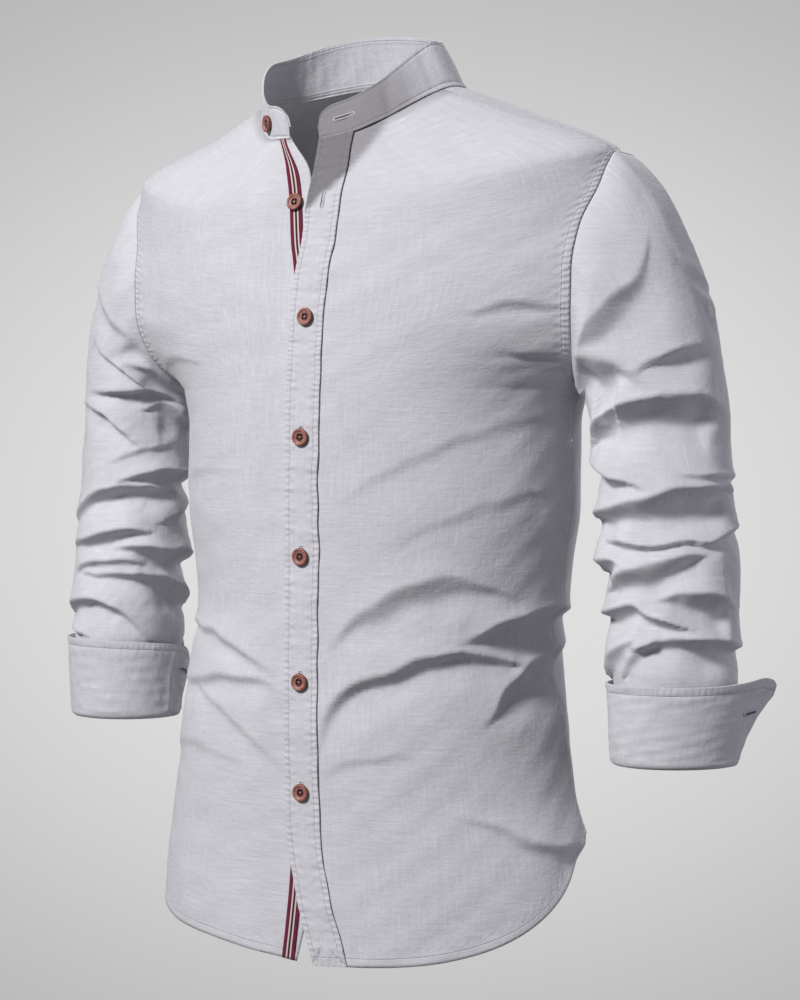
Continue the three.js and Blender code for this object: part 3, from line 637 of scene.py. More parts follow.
def rowDrop(row, angle):
    shoulder, underarm = body["shoulderDrop"], body["underarmDrop"]
    beside = shoulder + (underarm - shoulder) * (1 - cosOf(180 * np.clip(row - 1, 0, 1))) / 2
    lower = underarm + (hemDrop(angle) - underarm) * (row - 2)
    return np.where(row <= 1, shoulder * row, np.where(row <= 2, beside, lower))


def seamAngle(row, onFront):
    return 180 * (row - 1) if onFront else 360 - 180 * (row - 1)


def panelEnd(row, onFront):
    ring = bodyRing(rowDrop(np.clip(row, 1, 2), 90))
    seam = armholeCurve(seamAngle(np.clip(row, 1, 2), onFront))
    reach = abs(ring["frontY"] - ring["sideY"]) if onFront else abs(ring["sideY"] - ring["backY"])
    forward = (ring["sideY"] - seam["y"]) / reach
    beside = np.degrees(np.arctan2(seam["x"] / ring["halfWidth"], forward))
    shoulder = mix(shoulderSeam["neckAngle"], shoulderSeam["tipAngle"], row)
    return np.where(row <= 1, shoulder, np.where(row >= 2, 90, beside))


def panelPlace(angle, row, onFront):
    drop = rowDrop(row, angle)
    place = bodyPlace(angle, drop)
    around = turned(angle)
    side = np.where(around < 0, -1, 1)
    end = panelEnd(row, onFront)
    share = abs(around) / end if onFront else (180 - abs(around)) / (180 - end)
    seam = armholePlace(seamAngle(np.clip(row, 1, 2), onFront), side)
    pull = (seam - bodyPlace(side * end, drop)) * (share**4)[..., None]
    beside = ((row > 1) & (row < 2))[..., None]
    return place + np.where(beside, pull, 0)


# From a share of the panel's length to its row: 0-1 shoulder, 1-2 armhole, 2-3 below
def panelRow(v):
    counts = np.cumsum([0, *body["rows"]]) / sum(body["rows"])
    row = np.interp(v, counts, [0, 1, 2, 3])
    part = np.clip(row - 1, 0, 1)
    evened = 0.5 * part + 0.5 * np.arccos(1 - 2 * part) / math.pi
    return np.where((row > 1) & (row < 2), 1 + evened, row)


def panelFacing(angle, row, onFront):
    surface = lambda a, r: panelPlace(a, r, onFront)
    return facing(surface, angle, np.clip(row, 0.003, 2.997), 0.1, 0.003)


def lengthsFrom(places, rows, columns, fromEnd):
    grid = places.reshape(rows + 1, columns + 1, 3)
    steps = np.linalg.norm(np.diff(grid, axis=1), axis=2)
    lengths = np.concatenate([np.zeros((rows + 1, 1)), np.cumsum(steps, 1)], 1)
    if fromEnd:
        lengths = lengths[:, -1:] - lengths
    return lengths.ravel()


def runDown(places, rows, columns, column):
    grid = places.reshape(rows + 1, columns + 1, 3)
    steps = np.linalg.norm(np.diff(grid[:, column], axis=0), axis=1)
    lengths = np.concatenate([[0], np.cumsum(steps)])
    return np.repeat(lengths, columns + 1)


# Of several seams, each a distance, a stitch width and a run, the nearest at each point
def nearestSeam(*seams):
    seam, run = np.full(len(seams[0][0]), 9.0), np.zeros(len(seams[0][0]))
    for distance, width, along in seams:
        share = 1 + (distance - width) / 5
        run = np.where(share < seam, along, run)
        seam = np.minimum(share, seam)
    return seam, run


def angleAcross(x, row):
    ring = bodyRing(rowDrop(row, 0))
    return np.degrees(np.arcsin(np.clip((x - ring["middleX"]) / ring["halfWidth"], -1, 1)))


def lineAt(row):
    return frontLine(bodyRing(rowDrop(row, 0))["frontZ"])


def sunken(angle, row):
    drop = rowDrop(row, 0)
    ring = bodyRing(drop)
    x = ring["middleX"] + ring["halfWidth"] * sinOf(angle)
    return -body["underlap"] * ease(drop, 0, 55) * (1 - ease(-x, 20, 60))


# Painted shadow of the collar, and beside the band a painted shadow wedge that runs down from it
def frontShade(place, edge, drop, onLeft):
    besideBand = place[..., 0] - edge - body["bandWidth"]
    limit = 32 * (1 - np.clip(besideBand, 0, 40) / 30)
    wedge = 0.6 * (1 - ease(drop, limit - 7, limit + 4)) * onLeft
    return np.maximum(wedge, 0.5 * (1 - ease(drop, 1.5, 4.5)))


def makePanel(name):
    panel, onFront = panels[name], name != "back"
    rows, columns = sum(body["rows"]), panel["columns"]

    def surface(u, v):
        row = panelRow(v)
        end = panelEnd(row, onFront)
        if onFront:
            edge = lineAt(row)[panel["edge"]]
            angle = mix(angleAcross(edge, row), panel["side"] * end, u)
        else:
            angle = mix(end, 360 - end, u)
        place, outward = panelPlace(angle, row, onFront), panelFacing(angle, row, onFront)
        if name == "front_right":
            place = place + outward * sunken(angle, row)[..., None]
        fromSeam = lengthsFrom(place, rows, columns, True)
        if not onFront:
            fromSeam = np.minimum(fromSeam, lengthsFrom(place, rows, columns, False))
        upright = runDown(place, rows, columns, columns)
        drop = rowDrop(row, angle)
        hemGap = hemDrop(angle) - drop
        atArmhole = (row > 1) & (row < 2)
        stitch = np.where(atArmhole, body["armholeStitch"], body["sideStitch"])
        seam, run = nearestSeam((fromSeam, stitch, upright), (hemGap, hem["stitch"], angle * body["across"]))
        cover = body["cover"] * (1 - ease(fromSeam, 6.2, 7.6)) * atArmhole
        roll = body["hemRoll"] * (1 - ease(hemGap, 5.6, 8.4))
        place = settle(place + outward * (cover + roll)[..., None])
        gather = np.where(hemGap < 12, 0.12, panel["gather"])
        shade = frontShade(place, edge, drop, name == "front_left") if onFront else 0.0
        return {"place": place, "clothX": angle * body["across"], "clothY": -drop, "seam": seam, "run": run,
                "gather": gather, "shade": shade, "outward": outward}

    piece = layGrid(name + "_cloth", columns, rows, surface)
    thicken(piece, body["wall"])
    return onRoot(piece, "linen", slubLinen, name)


frontLeft, frontRight, back = [makePanel(name) for name in panels]
print("body panels ready")


# Placket band and striped tape

placket = {
    "columns": 18, "rows": 460, "stitch": 4.6, "pucker": 0.36, "puckerLength": 7, "wall": 1.2,
    "tapeColumns": 8, "tapeRows": 260, "tapeWall": 0.6, "tapeTop": 0.55,
}


def onLeftFront(x, row, distance):
    angle = angleAcross(x, row)
    outward = panelFacing(angle, row, True)
    return panelPlace(angle, row, True) + outward * np.asarray(distance)[..., None], outward


def makeBand():
    def surface(u, v):
        row = panelRow(v)
        length = rowDrop(row, 0)
        x = lineAt(row)["leftEdge"] + (body["bandWidth"] + 0.7 * ripple(length, 0, 48, 35)) * u
        fromEdge = np.minimum(u, 1 - u) * body["bandWidth"]
        waves = ripple(length, 60 * np.round(u), placket["puckerLength"], 31, 5)
        pucker = placket["pucker"] * waves * gauss(fromEdge - placket["stitch"], 4)
        drag = 0.2 * ripple(length, x * 0.4, 26, 32) + 0.22 * ripple(length, x * 0.2, 11, 34)
        lift = body["seamGap"] + body["bandWall"] - 0.5 * gauss(fromEdge - placket["stitch"], 0.9)
        place, outward = onLeftFront(x, row, lift + pucker + drag)
        # Painted shadow of the collar's tab across the top of the band, its lower edge slanting
        limit = mix(66, 34, u) + 3 * ripple(x, length, 14, 33)
        shade = 0.8 * (1 - ease(length, limit - 7, limit + 5))
        seam, run = nearestSeam((fromEdge, placket["stitch"], length),
                                (body["frontLength"] - length, hem["stitch"], x))
        return {"place": settle(place), "clothX": x, "clothY": -length, "seam": seam, "run": run,
                "shade": shade, "gather": 0.95, "outward": outward}

    piece = layGrid("placket_band_cloth", placket["columns"], placket["rows"], surface)
    thicken(piece, placket["wall"], rounded=0.35)
    return onRoot(piece, "linen", slubLinen, "placket_band")


def makeTape():
    def surface(u, v):
        row = panelRow(v)
        width = tape["width"] * mix(placket["tapeTop"], 1, ease(rowDrop(row, 0), 6, 32))
        x = lineAt(row)["tapeCentre"] + width * (0.5 - u)
        angle = angleAcross(x, row)
        lift = sunken(angle, row) + body["seamGap"] + 0.7
        place, outward = onLeftFront(x, row, lift)
        return {"place": settle(place), "clothX": tape["width"] * u, "clothY": -rowDrop(row, 0),
                "outward": outward}

    piece = layGrid("placket_tape_cloth", placket["tapeColumns"], placket["tapeRows"], surface)
    thicken(piece, placket["tapeWall"])
    return onRoot(piece, "striped_tape", stripedTape, "placket_tape")


band = makeBand()
tapeStrip = makeTape()
print("placket ready")


# Sleeves. An angle round a sleeve is 0 outside, 90 in front, 180 inside and 270 behind.

sleeves = {
    "top": -290, "gap": 0.8, "startPull": 0.62, "endPull": 1.1, "across": 0.92,
    "columns": 150, "capRows": 84, "tubeRows": 126, "wall": 1.0,
    "capStitch": 1.5, "underStitch": 2.5, "runPerDegree": 0.95, "length": 450, "round": 300,
}
sleeveRing = tableCurve(
    ["share", "centreX", "centreY", "longRadius", "shortRadius"],
    [
        [0, 257, 9, 56.1, 47.6], [0.2, 261, 9, 55.6, 47.6], [0.4, 265, 9, 56.6, 49.1],
        [0.6, 267, 9, 53.6, 49.1], [0.74, 268, 9, 53.1, 49.1], [0.8, 269.5, 9, 51, 47.4],
        [1, 270, 9, 46.8, 42.8],
    ],
)
leftSleeveCreases = [
    crease(0.42, [[39, -136, 2], [48, -151, 5], [58, -166, 9], [75, -182, 15], [97, -201, 16],
           [121, -217, 4]], reach=11),
    crease(0.35, [[-30, -170, 2], [-9, -159, 7], [6, -146, 3]]),
    crease(0.6, [[-12, -192, 3], [-11, -184, 7], [-4, -176, 3]]),
    crease(0.62, [[76, -245, 2.5], [87, -237, 8.5], [98, -234, 20], [112, -236, 29], [128, -234, 27],
           [150, -250, 6]], reach=6),
    crease(0.7, [[22, -217, 6], [43, -222, 9], [56, -228, 7], [70, -233, 2.5]]),
    crease(1.05, [[4, -265, 3], [20, -263, 14], [34, -264, 21], [56, -265, 24], [72, -267, 21],
           [88, -269, 21], [115, -279, 17], [132, -290, 5]], reach=7),
    crease(1.1, [[86, -328, 2], [104, -325, 7], [124, -320, 11], [150, -310, 7], [172, -306, 3]]),
    crease(0.7, [[-40, -322, 2], [-16, -322, 4.5], [19, -319, 4.5], [45, -319, 2]], reach=5),
    crease(1.1, [[-18, -331, 3], [0, -331, 8], [20, -333, 15], [41, -337, 20], [56, -341, 23], [73, -344, 22],
           [95, -347, 17], [120, -351, 15], [152, -354, 6]], reach=7),
    crease(1.25, [[-30, -360, 3], [-8, -365, 4.5], [26, -371, 3], [46, -373, 3.5], [68, -374, 4.5],
           [85, -376, 6], [102, -375, 6.8], [127, -371, 3]], reach=6),
    crease(0.9, [[105, -391, 1], [121, -388, 8], [140, -392, 15], [168, -396, 6]]),
    crease(0.85, [[35, -382, 2], [50, -388, 11], [68, -392, 18], [91, -400, 18], [112, -405, 14],
           [138, -411, 4]], reach=7),
    crease(0.7, [[6, -424, 4], [19, -423, 17], [34, -419, 19], [49, -418, 15], [62, -417, 9],
           [78, -416, 1]], reach=7),
    crease(1.15, [[48, -440, 1.5], [62, -439, 5], [74, -436, 8], [87, -431, 8], [99, -427, 9],
           [116, -429, 12], [136, -431, 9], [160, -434, 4]], reach=6),
    crease(0.95, [[-30, -458, 4], [-1, -458, 8], [28, -455, 12], [44, -453, 11], [59, -451, 9], [75, -452, 8],
           [90, -455, 4]], reach=8),
    crease(0.5, [[84, -452, 4], [93, -459, 8], [112, -476, 6]]),
    crease(0.6, [[108, -455, 4], [127, -464, 10], [152, -478, 7]]),
    # behind
    crease(0.85, [[196, -330, 4], [230, -340, 11], [270, -336, 12], [306, -326, 4]]),
    crease(0.8, [[204, -372, 4], [250, -378, 12], [300, -372, 5]]),
    crease(0.9, [[190, -418, 4], [236, -412, 12], [284, -420, 10], [316, -424, 4]]),
    crease(0.7, [[210, -458, 4], [255, -452, 10], [300, -462, 5]]),
    crease(0.6, [[214, -278, 3], [248, -270, 14], [292, -276, 5]]),
    crease(0.4, [[226, -204, 3], [254, -216, 12], [290, -208, 5]]),
]
rightSleeveCreases = [
    crease(0.42, [[40, -150, 3], [54, -164, 6], [75, -182, 10], [97, -197, 9], [112, -203, 3]]),
    crease(0.5, [[96, -215, 3], [112, -210, 7], [124, -208, 8], [140, -212, 5]]),
    crease(0.9, [[112, -228, 2], [128, -232, 6], [140, -238, 12], [152, -244, 15], [176, -252, 5]], reach=6),
    crease(1.3, [[66, -211, 2], [92, -224, 3], [110, -235, 3], [124, -244, 2]], reach=6),
    crease(1.4, [[68, -253, 1.5], [93, -252, 4.2], [122, -253, 6.2], [140, -255, 6],
           [160, -259, 2]], reach=6),
    crease(0.95, [[134, -267, 3], [146, -266, 8], [160, -269, 11], [180, -279, 4]]),
    crease(1.1, [[44, -262, 2], [61, -268, 4], [86, -273, 7], [104, -285, 5.4], [118, -294, 2]]),
    crease(0.55, [[100, -312, 2], [125, -304, 5.5], [152, -299, 3.5]]),
    crease(1.35, [[112, -328, 2], [133, -324, 6.4], [151, -323, 9.5], [171, -324, 12], [205, -326, 12],
           [236, -330, 4]], reach=6),
    crease(1.2, [[30, -364, 2], [52, -355, 5], [76, -344, 8], [95, -340, 11], [116, -338, 11.5],
           [135, -338, 11], [152, -338, 6.5], [174, -340, 2]], reach=7),
    crease(0.5, [[160, -366, 4], [180, -363, 8], [200, -354, 9], [222, -344, 5]]),
    crease(1.25, [[50, -388, 3], [66, -384, 6], [81, -381, 8], [97, -379, 10], [115, -376, 9],
           [138, -374, 2]], reach=6),
    crease(1.2, [[108, -389, 2], [132, -389, 9], [151, -393, 14], [172, -397, 16], [200, -399, 14],
           [230, -402, 4]], reach=7),
    crease(0.95, [[62, -407, 3], [74, -404, 6], [93, -401, 7.5], [116, -401, 7], [136, -402, 2]], reach=6),
    crease(1.1, [[70, -413, 2], [109, -413, 6.3], [137, -414, 7.5], [156, -418, 10], [174, -424, 13],
           [194, -431, 13], [216, -440, 4]], reach=7),
    crease(1.2, [[36, -446, 4], [52, -440, 7], [70, -436, 7.6], [89, -438, 7.2], [106, -442, 6.8],
           [118, -446, 4.6], [131, -456, 3.2], [148, -472, 1]], reach=8),
    crease(1.0, [[30, -461, 3], [55, -464, 5.5], [72, -467, 1.5]]),
    # behind and outside
    crease(0.7, [[-60, -300, 4], [-30, -312, 12], [10, -318, 4]]),
    crease(0.8, [[-70, -352, 4], [-34, -362, 12], [6, -358, 5]]),
    crease(0.85, [[-84, -408, 4], [-44, -404, 12], [0, -412, 6]]),
    crease(0.7, [[-64, -448, 4], [-30, -444, 9], [4, -452, 4]]),
    crease(0.5, [[-70, -240, 3], [-40, -250, 11], [0, -246, 4]]),
    crease(0.35, [[-50, -180, 3], [-24, -190, 8], [4, -186, 3]]),
]
arms = {
    "left": {"side": 1, "end": -539, "cuffHeight": 64, "creases": leftSleeveCreases, "depth": 1.6,
             "seed": 50},
    "right": {"side": -1, "end": -526, "cuffHeight": 69, "creases": rightSleeveCreases, "depth": 1.35,
              "seed": 70},
}
for arm in arms.values():
    arm["map"] = creaseMap(arm["creases"], arm["depth"], sleeves["across"], -560, -60, arm["seed"])


def ovalPlace(longRadius, shortRadius, centreX, centreY, angle, height):
    half = math.sqrt(0.5)
    long = longRadius * half * (cosOf(angle) - sinOf(angle))
    short = shortRadius * half * (cosOf(angle) + sinOf(angle))
    return point(centreX + half * (long + short), centreY + half * (long - short), height)


def ringPlace(share, angle, height):
    ring = sleeveRing(share)
    return ovalPlace(ring["longRadius"], ring["shortRadius"], ring["centreX"], ring["centreY"], angle, height)


def capStart(angle):
    under = (1 - cosOf(angle)) / 2
    fall = 0.65 - 0.4 * sinOf(angle) ** 2 + 1.2 * under**4
    return unit(point(1, -0.12 * sinOf(angle), -fall))


def sleeveForm(angle, along, end):
    angle, along = np.broadcast_arrays(np.asarray(angle, float), np.asarray(along, float))
    away = capStart(angle)
    start = armholePlace(angle, 1) + away * sleeves["gap"]
    top = ringPlace(0, angle, sleeves["top"])
    length = np.linalg.norm(start - top, axis=-1)[..., None]
    t = np.clip(along, 0, 1)[..., None]
    down = point(0, 0, -1)
    head = hermite(t, start, top, away * length * sleeves["startPull"], down * length * sleeves["endPull"])
    tube = ringPlace(np.clip(along - 1, 0, 1), angle, mix(sleeves["top"], end, along - 1))
    return np.where(along[..., None] >= 1, tube, head)


def sleeveRise(arm, angle, height):
    circle = 45 * point(cosOf(angle), sinOf(angle), 0)
    soft = 0.8 * ripple(circle[..., 0] + height * 0.3, circle[..., 1] + height, 40, arm["seed"] + 3)
    fine = 0.22 * ripple(circle[..., 0] * 1.3 + height, circle[..., 1] - height * 0.8, 15, arm["seed"] + 4)
    return arm["map"](angle, height) + soft + fine


def makeSleeve(hand):
    arm = arms[hand]
    rows, columns = sleeves["capRows"] + sleeves["tubeRows"], sleeves["columns"]
    split = sleeves["capRows"] / rows

    def surface(u, v):
        along = np.where(v <= split, v / split, 1 + (v - split) / (1 - split))
        angle = 360 * u + 180
        form = lambda a, t: sleeveForm(a, t, arm["end"])
        place = form(angle, along)
        outward = -facing(form, angle, np.clip(along, 0.004, 1.996), 0.5, 0.004)
        keep = ease(along, 0.04, 0.25) * (1 - ease(along, 1.86, 1.97))
        rise = keep * sleeveRise(arm, angle, place[..., 2])
        place = place + outward * rise[..., None]
        upright = (1 - v) * sleeves["length"]
        fromCap = np.linalg.norm(place - form(angle, 0), axis=-1)
        fromUnder = np.minimum(u, 1 - u) * sleeves["round"]
        capStitch = sleeves["capStitch"]
        seam, run = nearestSeam((fromCap + capStitch, capStitch, angle * sleeves["runPerDegree"]),
                                (fromUnder, sleeves["underStitch"], upright))
        seam = np.where(along < 0.02, 9, seam)
        flip = point(arm["side"], 1, 1)
        place, outward = place * flip, outward * flip
        return {"place": settle(place), "clothX": angle * sleeves["across"], "clothY": place[..., 2],
                "seam": seam, "run": run, "outward": outward}

    piece = layGrid(f"sleeve_{hand}_cloth", columns, rows, surface, closed=True)
    thicken(piece, sleeves["wall"])
    return onRoot(piece, "linen", slubLinen, f"sleeve_{hand}")


sleevePieces = {hand: makeSleeve(hand) for hand in arms}
print("sleeves ready")


# Cuffs, turned back once

cuffs = {
    "foldBelowSleeve": 11, "sweep": 345, "corner": 20, "topLong": 55.5, "topShort": 51, "foldLong": 51.5,
    "foldShort": 47.5, "legGap": 1.4, "wall": 2.2, "stitch": 7, "columns": 156, "legRows": (48, 8, 24),
    "flareReach": 22, "foldAt": 31, "foldWidth": 4.5, "shellInside": 0.3,
}
cuffEnds = {
    "left": {"visibleAngle": -38, "turn": 1, "flare": 30, "lift": 9, "reach": 25, "slant": 30, "fold": 0},
    "right": {"visibleAngle": 210, "turn": -1, "flare": 7, "lift": -12, "reach": 45, "slant": 14,
              "fold": 1.3},
}


def cuffPlace(angle, down, hand, slant=0):
    arm, end = arms[hand], cuffEnds[hand]
    fold = arm["end"] - cuffs["foldBelowSleeve"]
    topHeight = fold + arm["cuffHeight"]
    fromEnd = end["turn"] * (angle - end["visibleAngle"]) * sleeves["across"]
    along = fromEnd - slant * sleeves["across"]
    nearCorner = np.minimum(along, cuffs["sweep"] * sleeves["across"] - along)
    cut = cornerCut(cuffs["corner"], nearCorner)
    foldRadius = cuffs["legGap"] / 2 + cuffs["wall"]
    foldCentre = fold + foldRadius
    top = topHeight - cut + end["lift"] * np.exp(-fromEnd / end["reach"])
    turn = 180 * np.clip(down - 1, 0, 1)
    outerHeight = mix(top, foldCentre, np.clip(down, 0, 1))
    innerHeight = mix(foldCentre, arm["end"] - body["seamGap"], down - 2)
    lowest = foldCentre - foldRadius * sinOf(turn)
    height = np.where(down <= 1, outerHeight, np.where(down <= 2, lowest, innerHeight))
    inwards = foldRadius * (1 - cosOf(turn))
    raised = np.clip((height - foldCentre) / (topHeight - foldCentre), 0, 1)
    leg = np.where(down <= 1, raised, 0)
    flare = end["flare"] * leg * np.exp(-fromEnd / cuffs["flareReach"])
    place = ovalPlace(mix(cuffs["foldLong"], cuffs["topLong"], leg) - inwards,
                      mix(cuffs["foldShort"], cuffs["topShort"], leg) - inwards,
                      sleeveRing(1)["centreX"], sleeveRing(1)["centreY"], angle, height)
    return place + point(cosOf(angle) * flare, -sinOf(angle) * flare, 0)


def makeCuff(hand):
    arm, end = arms[hand], cuffEnds[hand]
    rows, columns = sum(cuffs["legRows"]), cuffs["columns"]
    counts = np.cumsum([0, *cuffs["legRows"]]) / rows

    def surface(u, v):
        down = np.interp(v, counts, [0, 1, 2, 3])
        slant = end["slant"] * np.clip(down, 0, 1) * (1 - u) ** 8
        angle = end["visibleAngle"] + end["turn"] * (cuffs["sweep"] * u + slant)
        form = lambda a, d: cuffPlace(a, d, hand, slant)
        place = form(angle, down)
        outward = -facing(form, angle, np.clip(down, 0.01, 2.99), 0.4, 0.01)
        span = arm["cuffHeight"]
        fromTop = np.where(down <= 1, down * span, 40)
        fromSide = np.minimum(u, 1 - u) * cuffs["sweep"] * sleeves["across"]
        seam, run = nearestSeam((fromTop, cuffs["stitch"], angle * sleeves["runPerDegree"]),
                                (fromSide, cuffs["stitch"], down * span))
        outer = (down <= 1) * 1.0
        soft = outer * (0.7 * ripple(angle * 0.92, place[..., 2], 60, arm["seed"] + 8)
                        + 0.28 * ripple(angle * 0.92, place[..., 2] * 2.2, 20, arm["seed"] + 9))
        rolled = -0.5 * gauss(np.minimum(fromTop, fromSide) - cuffs["stitch"], 1.2) * outer
        fromEnd = u * cuffs["sweep"] * sleeves["across"]
        soft = soft + end["fold"] * gauss(fromEnd - cuffs["foldAt"], cuffs["foldWidth"]) * outer
        place = place + outward * (cuffs["wall"] + (soft + rolled) * ease(down, 0, 0.1))[..., None]
        flip = point(arm["side"], 1, 1)
        outward = outward * flip
        return {"place": settle(place * flip), "clothX": place[..., 2], "clothY": angle * sleeves["across"],
                "seam": seam, "run": run, "outward": outward}

    piece = layGrid(f"cuff_{hand}_cloth", columns, rows, surface)
    thicken(piece, cuffs["wall"] - cuffs["shellInside"], rounded=0.5)
    return onRoot(piece, "linen", slubLinen, f"cuff_{hand}")


cuffPieces = {hand: makeCuff(hand) for hand in arms}
print("cuffs ready")


# Collar band

collar = {
    "height": 43, "frontHeight": 29, "rightHeight": 27, "corner": 18, "topHalfWidth": 72, "topCentreX": -8,
    "topFrontY": -92, "topBackY": 27, "perDegree": 1.26, "wall": 1.7, "stitch": 2.4,
    "columns": 260, "rows": 40, "proud": 1.3, "cover": 1.2, "endHeight": -44, "seamHeight": 32,
    "baseStitch": 3.2,
}
# Wrinkles that lean away from the tab: how far from it, how wide and how high
collarWrinkles = ((49, 4, -1.0), (58, 5, 0.9), (83, 6, -0.7), (96, 7, 0.6), (30, 6, 0.4))
collarStart = float(angleAcross(frontLine(collar["endHeight"])["rightEdge"], 0))
collarEnd = float(angleAcross(frontLine(collar["endHeight"])["leftEdge"], 0)) - 360


def collarPlace(angle, rise):
    around = turned(angle)
    base = bodyPlace(angle, 0)
    backwards = (1 - cosOf(around)) / 2
    rightFull = mix(collar["rightHeight"], collar["height"], ease(backwards, 0.1, 1))
    leftFull = mix(collar["frontHeight"], collar["height"], ease(backwards, 0, 0.5))
    full = np.where(around < 0, rightFull, leftFull)
    upright = (1 - ease(collarStart - angle, 17, 101))[..., None]
    ring = bodyRing(0)
    middleY = np.where(cosOf(around) > 0, collar["topFrontY"], collar["topBackY"])
    top = point(collar["topCentreX"] + collar["topHalfWidth"] * sinOf(around),
                ring["sideY"] + (middleY - ring["sideY"]) * abs(cosOf(around)), base[..., 2] + full)
    lean = unit(mix(top - base, point(-1, -2, full), upright))
    nearEnd = np.minimum(collarStart - angle, angle - collarEnd) * collar["perDegree"]
    cut = cornerCut(collar["corner"], nearEnd)
    return base + lean * ((full - cut + collar["cover"]) * rise - collar["cover"])[..., None]


def collarSurface(u, v):
    angle = mix(collarStart, collarEnd, u)
    place = collarPlace(angle, v)
    inside = np.clip(angle, collarEnd + 1, collarStart - 1)
    outward = -facing(collarPlace, inside, np.clip(v, 0.05, 0.95), 1, 0.04)
    length = (collarStart - angle) * collar["perDegree"]
    height = collar["seamHeight"] * v
    fromEnds = np.minimum(length, (angle - collarEnd) * collar["perDegree"])
    fromTop = collar["seamHeight"] * (1 - v)
    seam, run = nearestSeam((fromTop, collar["stitch"], length), (height, collar["baseStitch"], length),
                            (fromEnds, collar["stitch"], height))
    waves = 0.9 * ripple(length, height * 0.3, 34, 91) + 0.3 * ripple(length, height * 0.5, 13, 92)
    soft = ease(fromEnds, 2, 14) * waves * gauss(v - 0.5, 0.6)
    fromTab = (angle - collarEnd) * collar["perDegree"]
    for where, wide, size in collarWrinkles:
        soft = soft + size * gauss(fromTab - where - 0.25 * height, wide) * gauss(v - 0.55, 0.5)
    rolled = -0.4 * (gauss(fromTop - 2.6, 0.9) + gauss(height - 3.2, 1.0)) + 0.6 * gauss(height - 0.8, 1.1)
    # Painted shade on the collar's near side, strongest at the tab and fading towards the back
    shade = 0.7 * (1 - ease(angle - collarEnd, 36, 82))
    place = place + outward * (soft + rolled + collar["proud"])[..., None]
    return {"place": settle(place), "clothX": length, "clothY": height, "seam": seam, "run": run,
            "shade": shade, "gather": 0.3, "outward": outward}


def makeCollar():
    piece = layGrid("collar_cloth", collar["columns"], collar["rows"], collarSurface)
    thicken(piece, collar["wall"], rounded=0.5)
    return onRoot(piece, "linen", slubLinen, "collar")


collarPiece = makeCollar()
print("collar ready")


# Buttons: turned discs with a raised rim, a hollow and four holes

buttons = {
    "radius": 7.25, "thickness": 3.2, "hollow": 1.9, "holeRadius": 0.95, "holeOut": 1.9,
    "heights": (-191, -288, -385, -487, -577), "tapeHeight": -96, "collarAngle": -40.7, "collarRise": 0.46,
}


def buttonMesh():
    radius, thick, hollow = buttons["radius"], buttons["thickness"], buttons["hollow"]
    profile = [(0, 0), (radius - 1.2, 0), (radius - 0.3, 0.5), (radius, 1.3), (radius - 0.1, thick - 0.9),
               (radius - 0.6, thick - 0.2), (radius - 1.2, thick), (radius - 1.9, thick - 0.25),
               (radius - 2.4, thick - 0.8), (radius - 2.8, hollow + 0.1), (radius - 3.4, hollow),
               (radius - 3.9, hollow), (radius - 6, hollow), (radius - 6.7, hollow), (0, hollow)]
    form = bmesh.new()
    points = [form.verts.new((r, 0, z)) for r, z in profile]
    edges = [form.edges.new(pair) for pair in zip(points, points[1:])]
    bmesh.ops.spin(form, geom=points + edges, cent=(0, 0, 0), axis=(0, 0, 1), angle=2 * math.pi, steps=40,
                   use_merge=True)
    bmesh.ops.remove_doubles(form, verts=form.verts, dist=0.01)
    bmesh.ops.recalc_face_normals(form, faces=form.faces)
    drills = bmesh.new()
    for corner in range(4):
        turn = math.radians(45 + 90 * corner)
        out = buttons["holeOut"]
        place = Matrix.Translation((out * math.cos(turn), out * math.sin(turn), 1))
        bmesh.ops.create_cone(drills, cap_ends=True, segments=16, radius1=buttons["holeRadius"],
                              radius2=buttons["holeRadius"], depth=8, matrix=place)
    disc = addObject("buttonDisc", meshFrom(form, "buttonDisc"))
    drill = addObject("buttonDrills", meshFrom(drills, "buttonDrills"))
    cut = disc.modifiers.new("holes", "BOOLEAN")
    cut.object, cut.operation, cut.solver = drill, "DIFFERENCE", "EXACT"
    bpy.context.view_layer.update()
    drilled = bpy.data.meshes.new_from_object(disc.evaluated_get(bpy.context.evaluated_depsgraph_get()))
    for thing in (disc, drill):
        bpy.data.objects.remove(thing)
    out = drilled.attributes.new("out", "FLOAT", "POINT")
    for vertex in drilled.vertices:
        out.data[vertex.index].value = math.hypot(vertex.co.x, vertex.co.y) / radius
    return drilled


discMesh = buttonMesh()


# Turns +Z to the cloth's outward side and +Y upwards on it
def standOn(place, outward):
    normal = Vector(outward).normalized()
    side = Vector((0, 0, 1)).cross(normal).normalized()
    up = normal.cross(side)
    turn = Matrix((side, up, normal)).transposed().to_4x4()
    return Matrix.Translation(Vector(place) / 1000) @ turn @ Matrix.Scale(0.001, 4)


def makeButton(name, place, outward):
    mesh = discMesh.copy()
    mesh.name = name
    mesh.transform(standOn(place, outward))
    mesh.shade_smooth()
    return onRoot(addObject(name + "_wood", mesh), "button", buttonWood, name)


def dropAtHeight(height):
    drops = np.linspace(0, body["frontLength"], 4000)
    return float(np.interp(-height, -bodyRing(drops)["frontZ"], drops))


def rowAtDrop(drop):
    rows = np.linspace(0, 3, 3000)
    return np.interp(drop, rowDrop(rows, 0), rows)


def seatOnFront(x, height, distance):
    row = np.array([rowAtDrop(dropAtHeight(height))])
    place, outward = onLeftFront(np.array([x]), row, np.array([distance]))
    return settle(place)[0], outward[0]


